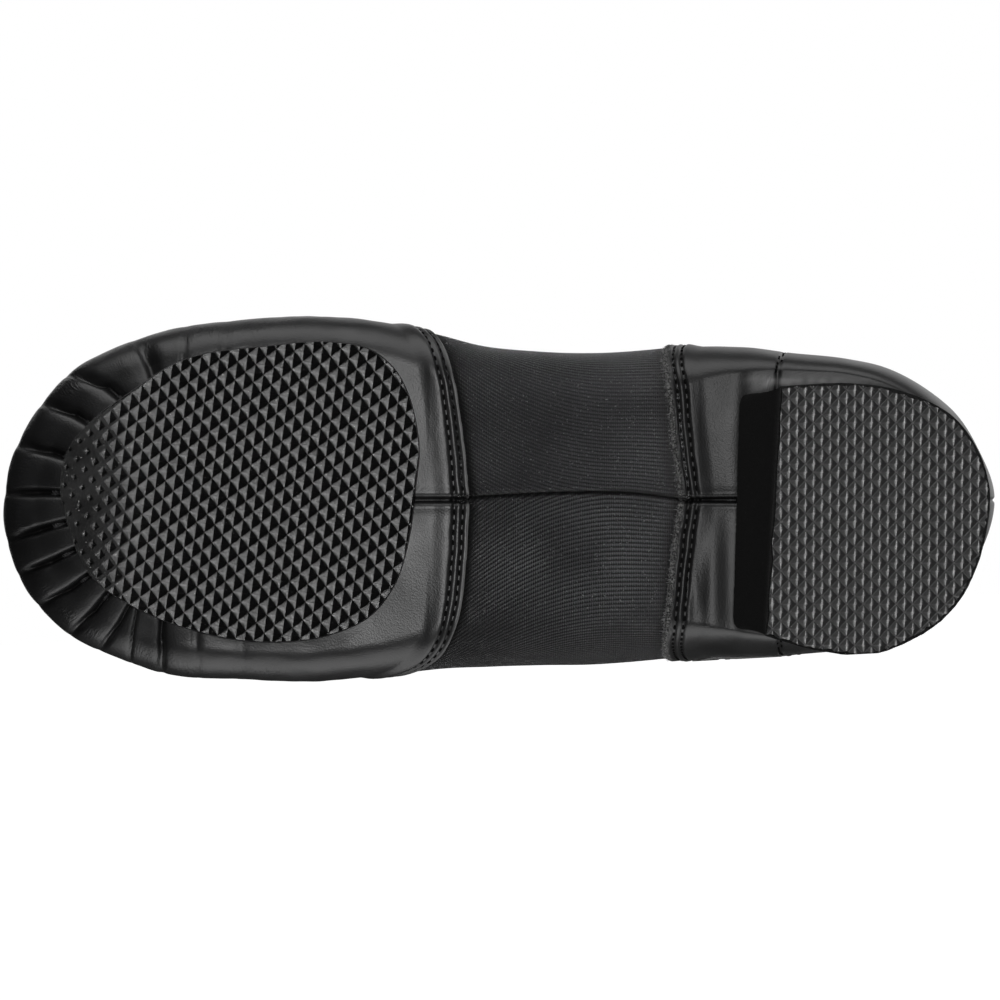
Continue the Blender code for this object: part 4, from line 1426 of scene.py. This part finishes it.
# %% [markdown]
# Cutting is a boolean: the sheet and a prism with the outline are both closed solids, and the modifier
# keeps what lies in both. Both helpers are removed again afterwards.

# %% Cutting a shape out of the sheet


def prism(outline_points, low, high):
    """A closed solid with the outline's shape between two heights."""
    count = len(outline_points)
    points = [(x, y, z) for z in (low, high) for x, y in outline_points]
    sides = [[k, (k + 1) % count, count + (k + 1) % count, count + k] for k in range(count)]
    return Closed(points, sides + [list(range(count))[::-1], list(range(count, 2 * count))])


def scratch_object(name, closed):
    """An object with its faces turned out, for cutting with."""
    mesh = bpy.data.meshes.new(name)
    mesh.from_pydata([tuple(map(float, p)) for p in closed.points], [], closed.faces)
    bm = bmesh.new()
    bm.from_mesh(mesh)
    bmesh.ops.recalc_face_normals(bm, faces=bm.faces)
    bm.to_mesh(mesh)
    bm.free()
    made = bpy.data.objects.new(name, mesh)
    bpy.context.scene.collection.objects.link(made)
    return made


def cut_out(sheet, cutter):
    """The part that a sheet and a prism share, as points and faces."""
    body, knife = scratch_object("sheet", sheet), scratch_object("knife", cutter)
    cut = body.modifiers.new("cut", "BOOLEAN")
    cut.operation = "INTERSECT"
    cut.object = knife
    evaluated = body.evaluated_get(bpy.context.evaluated_depsgraph_get())
    mesh = bpy.data.meshes.new_from_object(evaluated)
    points = np.array([v.co for v in mesh.vertices])
    faces = [list(p.vertices) for p in mesh.polygons]
    for scratch in (body, knife):
        bpy.data.objects.remove(scratch)
    return points, faces


# %% [markdown]
# The forefoot tread is rubbed down at the toe: its pyramids are low and far apart there, and the rubber
# between them is polished. Its rim is pressed out a little where the sheet was cut.

# %% The forefoot tread
EDGE_POINTS = 5
FOREFOOT_MIDDLE = np.array([58 * MM, 0.0])
FOREFOOT_RADIUS = 56 * MM
WEAR_END = 36 * MM
WEAR_FADE = 17 * MM
RIM_PRESS = 0.3 * MM


def toe_wear(spot):
    """1 where the floor has rubbed the points away, at the toe end."""
    return float(ease((WEAR_END - spot[0] - 0.12 * abs(spot[1])) / WEAR_FADE))


def make_forefoot_tread():
    sheet = pyramid_sheet(FOREFOOT_TREAD, FOREFOOT_MIDDLE, FOREFOOT_RADIUS, FOREFOOT_SOLE, toe_wear)
    cutter = prism(forefoot_outline[::EDGE_POINTS], -MM, FOREFOOT_SOLE + MM)
    points, faces = cut_out(sheet, cutter)
    height = points[:, 2].copy()
    ground = np.array([toe_wear(point) for point in points])
    tip = 1 - np.clip(height / FOREFOOT_TREAD.depth, 0, 1)
    tip += 0.8 * ground * (tip > 0.1)
    low_edge = height > 1.05 * FOREFOOT_TREAD.depth
    away = points[:, :2] - FOREFOOT_MIDDLE
    points[low_edge, :2] += (away / np.linalg.norm(away, axis=1)[:, None] * RIM_PRESS)[low_edge]
    points[:, 2] += bottom_height(points[:, 0]) - GAP - FOREFOOT_SOLE
    worn = np.where(low_edge, 1.5, (0.2 + 0.8 * tip) * (1 - 0.3 * ground))
    numbers = {"worn": worn, "polished": ground * (tip < 0.1)}
    return add_piece("forefoot_tread", points, faces, forefoot_rubber,
                     "forefoot_sole", numbers, sharp=12)


forefoot_tread = make_forefoot_tread()

# %% [markdown]
# The heel's pyramids are lower, turned the other way and worn to short ridges. The edge of this tread has
# crumbled, so the outline wanders in and out before it cuts the sheet.

# %% The heel tread
HEEL_RADIUS = 48 * MM
CRUMB_SIZE = 1.3 * MM
CRUMB_DEPTH = 0.8 * MM


def ragged_outline(points, size, depth):
    """A cut edge that wanders a little, inside the clean one."""
    middle = points.mean(axis=0)
    found = []
    for x, y in points:
        push = noise.noise(Vector((x / size, y / size, 4.0))) * depth
        away = np.array([x, y]) - middle
        found.append(np.array([x, y]) + away / np.linalg.norm(away) * (push - depth / 2))
    return np.array(found)


def make_heel_tread():
    tread_outline = heel_outline()
    middle = tread_outline.mean(axis=0)
    sheet = pyramid_sheet(HEEL_TREAD_PATTERN, middle, HEEL_RADIUS, HEEL_TREAD, lambda spot: 0.0)
    cutter = prism(ragged_outline(tread_outline[::2], CRUMB_SIZE, CRUMB_DEPTH), -MM, HEEL_TREAD + MM)
    points, faces = cut_out(sheet, cutter)
    # The tips' number makes the ridge tops pale: rubbed wear and a painted highlight.
    tip = 1 - np.clip(points[:, 2] / HEEL_TREAD_PATTERN.depth, 0, 1)
    return add_piece("heel_tread_pattern", points, faces, heel_rubber,
                     "heel_tread", {"worn": tip}, sharp=12)


heel_tread = make_heel_tread()

# %% [markdown]
# Between the tread and the shoe is a block of black foam, cut with a slanting front. It is lofted in
# rings from the tread's outline to the seat's, a little hollow at the sides as if pressed, with edges
# that are rubbed rather than sharp.

# %% The heel block
BREAST_TWIST = 0.035
BREAST_PLACE = 0.77 * LENGTH
CORNER_ROUNDS = 4
RIM_STEP = 1.2 * MM
PINCH = 0.35 * MM
FOAM_WAVE = Wave(0.10 * MM, 1.5 * MM, 9.0)


def block_outlines():
    """The block's outline at the tread and at the shoe, finely divided, the upper one rounded."""
    pairs = np.hstack([heel_outline()[::3], seat_outline[::3]])
    finer = []
    for here, after in zip(pairs, np.roll(pairs, -1, axis=0)):
        steps = max(1, int(np.ceil(np.linalg.norm((after - here)[2:]) / RIM_STEP)))
        finer += [here + (after - here) * k / steps for k in range(steps)]
    low, high = np.hsplit(np.array(finer), 2)
    high[:, 0] += BREAST_TWIST * high[:, 1] * (high[:, 0] < BREAST_PLACE)
    for _ in range(CORNER_ROUNDS):
        high = (np.roll(high, 1, axis=0) + high + np.roll(high, -1, axis=0)) / 3
    return low, high


def make_heel_block():
    low, high = block_outlines()
    bottom, top = HEEL_TREAD + GAP, HEEL_HEIGHT
    middle = low.mean(axis=0)
    rings = []
    for inset in (1.0, 0.5, 0.08):
        rings.append([(*(p + (middle - p) * inset), bottom) for p in low])
    for level in np.linspace(0, 1, 15):
        spots = low + (high - low) * level
        pinch = PINCH * math.sin(math.pi * level) - RIM_PRESS * (level == 0)
        away = spots - middle
        spots = spots - away / np.linalg.norm(away, axis=1)[:, None] * pinch
        rings.append([(*p, bottom + (top - bottom) * level) for p in spots])
    rings.append([(*(p + (middle - p) * 0.5), top) for p in high])
    rings.append([(*middle, top) for p in high])
    grid = np.array(rings).transpose(1, 0, 2)
    grid = grid + waves(grid, FOAM_WAVE)[..., None] * np.array([1, 1, 0])
    points, number, _ = weld(grid)
    faces = grid_faces(number, closed=True)
    worn = {"worn": np.clip(1 - (points[:, 2] - bottom) / (1.2 * MM), 0, 1)}
    return add_piece("foam_block", points, faces, heel_foam, "heel_block", worn, sharp=50)


make_heel_block()

# %% [markdown]
# The sock is the cloth-covered insole that lies on the floor of the shoe. It shows only through the
# collar, so a rounded slab with a woven finish is enough.

# %% The sock
SOCK_PROFILE = [(0.0, 0.0), (0.97, 0.0), (1.0, 0.3), (1.0, 0.7), (0.985, 0.95), (0.95, 1.0),
                (0.8, 1.0), (0.5, 1.0), (0.0, 1.0)]


def make_sock():
    cols = [(x, (0.0, 1.0)) for x in np.linspace(TOE_CENTRE, HEEL_CENTRE, 60)]
    cols += [(HEEL_CENTRE, (math.cos(t), math.sin(t))) for t in np.radians(np.linspace(87, -87, 40))]
    cols += [(x, (0.0, -1.0)) for x in np.linspace(HEEL_CENTRE, TOE_CENTRE, 60)]
    cols += [(TOE_CENTRE, (-math.cos(t), math.sin(t))) for t in np.radians(np.linspace(-87, 87, 40))]
    sections = []
    for start_x, heading in cols:
        half = cast(start_x, heading).half
        wide_x = start_x + half * heading[0]
        edge = float(flat_share(wide_x / LENGTH)) * half - WALL - INSOLE_CLEARANCE
        ring = []
        for share, level in SOCK_PROFILE:
            x = start_x + share * edge * heading[0]
            base = float(bottom_height(x)) + WALL + GAP
            ring.append((x, share * edge * heading[1], base + INSOLE * level))
        sections.append(ring)
    points, number, _ = weld(np.array(sections))
    faces = grid_faces(number, closed=True)
    return add_piece("sock", points, faces, sock_cloth, "insole", sharp=60)


make_sock()

# %% [markdown]
# Thread is what makes a seam look sewn. Each stitch is a short rounded bar that dips into the leather at
# both ends. The bars are laid along a guide line at an even pitch, each pressed onto the nearest spot
# of the finished panel, and all bars of a row are one mesh.

# %% One stitch


def bar_mesh(length, radius, sides=8, rings=7):
    """One stitch along X, bowed up in the middle, as points and faces."""
    points = []
    for k in range(rings):
        t = k / (rings - 1) * 2 - 1
        round_off = math.sqrt(max(1 - abs(t) ** 3.2, 0.0)) * radius + 0.02 * radius
        for s in range(sides):
            angle = 2 * math.pi * s / sides
            lift = -0.9 * radius * t * t
            points.append((t * length / 2, math.cos(angle) * round_off,
                           math.sin(angle) * round_off * 0.8 + lift))
    faces = []
    for k in range(rings - 1):
        for s in range(sides):
            after = (s + 1) % sides
            faces.append([k * sides + s, (k + 1) * sides + s,
                          (k + 1) * sides + after, k * sides + after])
    faces.append(list(range(sides)))
    faces.append([(rings - 1) * sides + s for s in reversed(range(sides))])
    return np.array(points), faces


# %% [markdown]
# A guide line lies only roughly on the leather, since the panels are pushed in and out from the last. So
# each stitch looks for the nearest spot on the finished mesh and lies down along the surface there.

# %% Sewing along a line


def even_places(guide, pitch):
    """Points at an even pitch along a guide line, with its direction there."""
    steps = np.linalg.norm(np.diff(guide, axis=0), axis=1)
    run = np.concatenate([[0.0], np.cumsum(steps)])
    places = np.arange(pitch / 2, run[-1], pitch)
    spots = np.stack([np.interp(places, run, guide[:, k]) for k in range(3)], axis=1)
    ahead = np.stack([np.interp(places + pitch / 4, run, guide[:, k]) for k in range(3)], axis=1)
    behind = np.stack([np.interp(places - pitch / 4, run, guide[:, k]) for k in range(3)], axis=1)
    return spots, ahead - behind


def surface_of(*pieces):
    """A search tree over finished panels, in the shoe's own axes."""
    points, faces = [], []
    back = shoe.inverted()
    for piece in pieces:
        base = len(points)
        points += [back @ v.co for v in piece.data.vertices]
        faces += [[base + i for i in p.vertices] for p in piece.data.polygons]
    return BVHTree.FromPolygons(points, faces)


def sew(name, guides, surface, pitch, share=0.74, radius=THREAD / 2, sink=0.05 * MM):
    """Stitches along guide lines, pressed onto the surface."""
    bar, bar_faces = bar_mesh(pitch * share, radius)
    points, faces = [], []
    for guide in guides:
        for spot, heading in zip(*even_places(np.asarray(guide), pitch)):
            place, normal, *_ = surface.find_nearest(Vector(spot))
            along = Vector(heading)
            along = (along - along.dot(normal) * normal).normalized()
            across = normal.cross(along)
            turned = Matrix((along, across, normal)).transposed()
            base = len(points)
            seat = place + normal * (radius * 0.35 - sink)
            points += [seat + turned @ Vector(p) for p in bar]
            faces += [[base + i for i in face] for face in bar_faces]
    return add_piece(name, points, faces, black_thread)


# %% [markdown]
# Two rows run beside each seam, as in the photo. Their guides are the seam's own curve, moved off by the
# distances at which its profile has troughs, so that the thread lies in them.

# %% The seam rows
FRONT_PITCH = 2.5 * MM
REAR_PITCH = 2.4 * MM


def seam_guide(name, side, offset):
    rows = np.linspace(0.012, 0.985, 260)
    return side_skin(side, (seam_place(name, side, rows) + offset)[None, :], rows[None, :])[0]


vamp_surface = surface_of(vamp)
heel_surface = surface_of(heel_part)
for row, offset in enumerate(FRONT_ROWS, 1):
    guides = [seam_guide("front", side, -offset) for side in SIDES]
    sew(f"front_stitches_{row}", guides, vamp_surface, FRONT_PITCH)
for row, offset in enumerate(REAR_ROWS, 1):
    guides = [seam_guide("rear", side, offset) for side in SIDES]
    sew(f"rear_stitches_{row}", guides, heel_surface, REAR_PITCH)

# %% [markdown]
# A single row runs up each side of the heel part where a stiffener is sewn in, and one more row holds the
# turned top edge round the collar. It stops short of the throat's corner, as a sewing machine does.

# %% Side rows and the collar's row
SIDE_PITCH = 1.5 * MM
COLLAR_PITCH = 2.6 * MM
BELOW_EDGE = 0.78 * HEM_WIDTH
OUT_FROM_EDGE = 1.2 * MM
THROAT_FADE = 8 * MM
THROAT_SHIFT = 3.5 * MM
THROAT_CLEAR = 3 * MM


def side_guide(side):
    rows = np.linspace(0.19, 0.95, 160)
    return side_skin(side, side_seam_place(rows)[None, :], rows[None, :])[0]


def collar_guide():
    """A line round the collar, below its edge by most of the hem's width."""
    edge = opening_outline[np.argsort(np.arctan2(opening_outline[:, 1], opening_outline[:, 0] - 0.18))]
    points = np.array([(x, y, float(top_height(np.array(x)))) for x, y in edge])
    low = points.copy()
    low[:, 2] -= BELOW_EDGE
    out = points[:, :2] - points.mean(axis=0)[:2]
    low[:, :2] += out / np.linalg.norm(out, axis=1)[:, None] * OUT_FROM_EDGE
    front = np.clip((THROAT * LENGTH + THROAT_FADE - points[:, 0]) / THROAT_FADE, 0, 1)
    low[:, 0] -= front * THROAT_SHIFT
    low[:, 2] += front * THROAT_SHIFT
    past_corner = (points[:, 0] > 0.5 * LENGTH) | (np.abs(points[:, 1]) > THROAT_CLEAR)
    return low[past_corner]


sew("side_stitches", [side_guide(side) for side in SIDES], heel_surface, SIDE_PITCH, 0.72, 0.28 * MM)
collar_surface = surface_of(heel_part, arch_inner, arch_outer)
sew("collar_stitches", [collar_guide()], collar_surface, COLLAR_PITCH, 0.74, 0.24 * MM)

# %% [markdown]
# A raw leather edge is furry. Short fibres, each a thin bent blade of two faces, stand out of the rear
# seam's edge at odd angles. Their places come from a random draw with a fixed seed, so that the
# edge is the same each time.

# %% Loose fibres
FIBRES_PER_GUIDE = 560
FIBRE_LENGTH = 0.8 * MM


def fray(name, guides, surface, count, length, material):
    """Fibres that stand out of a surface at random places along the guides."""
    draw = np.random.default_rng(7)
    points, faces = [], []
    for guide in guides:
        guide = np.asarray(guide)
        picks = draw.uniform(0, len(guide) - 1.001, count)
        for pick in picks:
            k = int(pick)
            spot = guide[k] + (guide[k + 1] - guide[k]) * (pick - k)
            place, normal, *_ = surface.find_nearest(Vector(spot))
            way = Vector(draw.normal(size=3)) * 0.8 + normal * 0.7
            way.normalize()
            side = way.cross(normal).normalized() * 0.05 * MM
            tall = length * draw.uniform(0.4, 1.0)
            bend = Vector(draw.normal(size=3)) * 0.25 * tall
            base = len(points)
            for t, width in ((0.0, 1.0), (0.5, 0.8), (1.0, 0.15)):
                middle = place + way * tall * t + bend * t * t
                points += [middle - side * width, middle + side * width]
            faces += [[base, base + 1, base + 3, base + 2], [base + 2, base + 3, base + 5, base + 4]]
    return add_piece(name, points, faces, material)


def fibre_material():
    f = Finish("loose_fibres", grey(0.07), 0.8, 0.3)
    tint = f.noise(f.place(900))
    return f.finish(f.mix(tint, grey(0.05), grey(0.30)))


rear_edges = [seam_guide("rear", side, offset) for side in SIDES for offset in (0.1 * MM, 0.6 * MM)]
fray("rear_edge_fibres", rear_edges, heel_surface, FIBRES_PER_GUIDE, FIBRE_LENGTH,
     fibre_material())

# %% [markdown]
# The photo is taken square onto the soles from far away, so the camera looks along the shoe's own up
# axis through a long lens, rolled until the shoe lies level. Its frame is the photo's 1000 by 1000
# pixels, with the toe tip at pixel 2, so the scale follows from the shoe's length in pixels.

# %% The camera
PHOTO_SIDE = 1000
TOE_PIXEL = 2
SHOE_PIXELS = 995
PIXEL = LENGTH / SHOE_PIXELS
CAMERA_DISTANCE = 3.0
SENSOR = 36.0
AIM_HEIGHT = 0.012


def make_camera():
    data = bpy.data.cameras.new("camera")
    data.sensor_width = SENSOR
    data.lens = SENSOR * CAMERA_DISTANCE / (PHOTO_SIDE * PIXEL)
    camera = bpy.data.objects.new("camera", data)
    bpy.context.scene.collection.objects.link(camera)
    turn = shoe.to_3x3()
    along, across, up = turn.col[0], turn.col[1], turn.col[2]
    aim = shoe @ Vector(((PHOTO_SIDE / 2 - TOE_PIXEL) * PIXEL, 0.0, AIM_HEIGHT))
    axes = Matrix((along, -across, -up)).transposed()
    camera.matrix_world = Matrix.Translation(aim - up * CAMERA_DISTANCE) @ axes.to_4x4()
    data.clip_end = 20.0
    bpy.context.scene.camera = camera
    return camera


camera = make_camera()
print("camera height", round(camera.matrix_world.translation.z, 4), "lens", round(camera.data.lens, 1))

# %% [markdown]
# The photo's ground is plain white, without a shadow. So the floor glows evenly, and the pieces neither
# mirror it nor shade it. The room round it is white for the camera and dim for everything else, since a
# white room would turn near black to grey.

# %% The floor and the room
FLOOR_SIZE = 4.0
FLOOR_GLOW = 1.05
ROOM_LIGHT = 0.012


def make_floor():
    bm = bmesh.new()
    bmesh.ops.create_grid(bm, x_segments=4, y_segments=4, size=FLOOR_SIZE)
    mesh = bpy.data.meshes.new("floor")
    bm.to_mesh(mesh)
    bm.free()
    floor = bpy.data.objects.new("floor", mesh)
    bpy.context.scene.collection.objects.link(floor)
    f = Finish("pale_floor", grey(0.5), 0.8, 0.1)
    f.shader.inputs["Emission Color"].default_value = (1.0, 1.0, 1.0, 1.0)
    f.shader.inputs["Emission Strength"].default_value = FLOOR_GLOW
    tone = f.noise(f.place(3), 2.0)
    mesh.materials.append(f.finish(f.mix(tone, grey(0.48), grey(0.52))))
    floor.visible_glossy = False
    floor.visible_diffuse = False
    floor.visible_shadow = False


def make_surroundings():
    """White where the camera looks past the floor, and a dim room for the light on the shoe."""
    world = bpy.data.worlds.new("room")
    world.use_nodes = True
    tree = world.node_tree
    room = tree.nodes["Background"]
    room.inputs["Color"].default_value = (*grey(ROOM_LIGHT), 1.0)
    white = tree.nodes.new("ShaderNodeBackground")
    white.inputs["Color"].default_value = (*grey(1.0), 1.0)
    path = tree.nodes.new("ShaderNodeLightPath")
    mixed = tree.nodes.new("ShaderNodeMixShader")
    tree.links.new(path.outputs["Is Camera Ray"], mixed.inputs["Fac"])
    tree.links.new(room.outputs[0], mixed.inputs[1])
    tree.links.new(white.outputs[0], mixed.inputs[2])
    tree.links.new(mixed.outputs[0], tree.nodes["World Output"].inputs["Surface"])
    bpy.context.scene.world = world


make_floor()
make_surroundings()
print("the floor reaches", FLOOR_SIZE, "m to each side")

# %% [markdown]
# Near black shows little else than what it reflects, so each material asks for its own light. Lamps far
# to the toe's side rake across the treads and the fabric, so that one face of each pyramid shines and the
# next stays dark. Big lamps near the camera open the leather, and lamps above, below and behind draw the
# pale rims. A photographer would keep them apart with flags. Here light linking does it: each lamp has a
# list of the pieces that it lights.

# %% The lamps
MIDDLE = (0.0, 0.0, 0.045)
HEEL_END = (0.09, 0.0, 0.045)
SMALL_LAMP = (0.35, 0.35)
NARROW_BEAM = 28.0
HEEL_BEAM = 30.0


def soft_lamp(name, place, aim, size, power, lit, spread=180.0):
    """A rectangular lamp that lights only the pieces in lit, as a flag on a stand would arrange."""
    data = bpy.data.lights.new(name, "AREA")
    data.spread = math.radians(spread)
    data.shape = "RECTANGLE"
    data.size, data.size_y = size
    data.energy = power
    lamp = bpy.data.objects.new(name, data)
    bpy.context.scene.collection.objects.link(lamp)
    lamp.location = place
    lamp.rotation_euler = (Vector(aim) - Vector(place)).to_track_quat("-Z", "Y").to_euler()
    lamp.visible_camera = False
    group = bpy.data.collections.new(f"lit_by_{name}")
    for piece in lit:
        group.objects.link(piece)
    lamp.light_linking.receiver_collection = group


forefoot = [forefoot_tread, arch_inner, arch_outer]
rest = [piece for piece in pieces if piece not in (forefoot_tread, heel_tread)]
front_part = [piece for piece in rest if piece is not heel_part]
soft_lamp("left_high", (-0.75, -0.47, 0.46), HEEL_END, SMALL_LAMP, 1.9, forefoot, NARROW_BEAM)
soft_lamp("left_low", (-0.75, -0.47, -0.37), HEEL_END, SMALL_LAMP, 0.43, forefoot, NARROW_BEAM)
soft_lamp("heel_left", (-0.75, -0.47, 0.0), HEEL_END, SMALL_LAMP, 0.38, [heel_tread], HEEL_BEAM)
soft_lamp("heel_low", (0.25, -0.90, -0.75), HEEL_END, (0.5, 0.5), 2.6, [heel_tread])
soft_lamp("front", (0.20, -1.5, 0.14), MIDDLE, (0.6, 0.6), 17.0, front_part + [heel_tread])
soft_lamp("heel_front", (0.20, -1.5, -0.02), MIDDLE, (0.6, 0.6), 9.0, [heel_part])
soft_lamp("behind", (0.3, 0.9, 0.30), MIDDLE, (1.8, 0.9), 5.0, rest)
soft_lamp("below", (0.0, -0.10, -0.70), MIDDLE, (1.2, 0.8), 7.0, rest)
soft_lamp("above", (0.0, -0.20, 0.80), MIDDLE, (1.2, 0.8), 6.8, rest)
bpy.context.scene.view_settings.view_transform = "Standard"
print("lamps", len(bpy.data.lights))
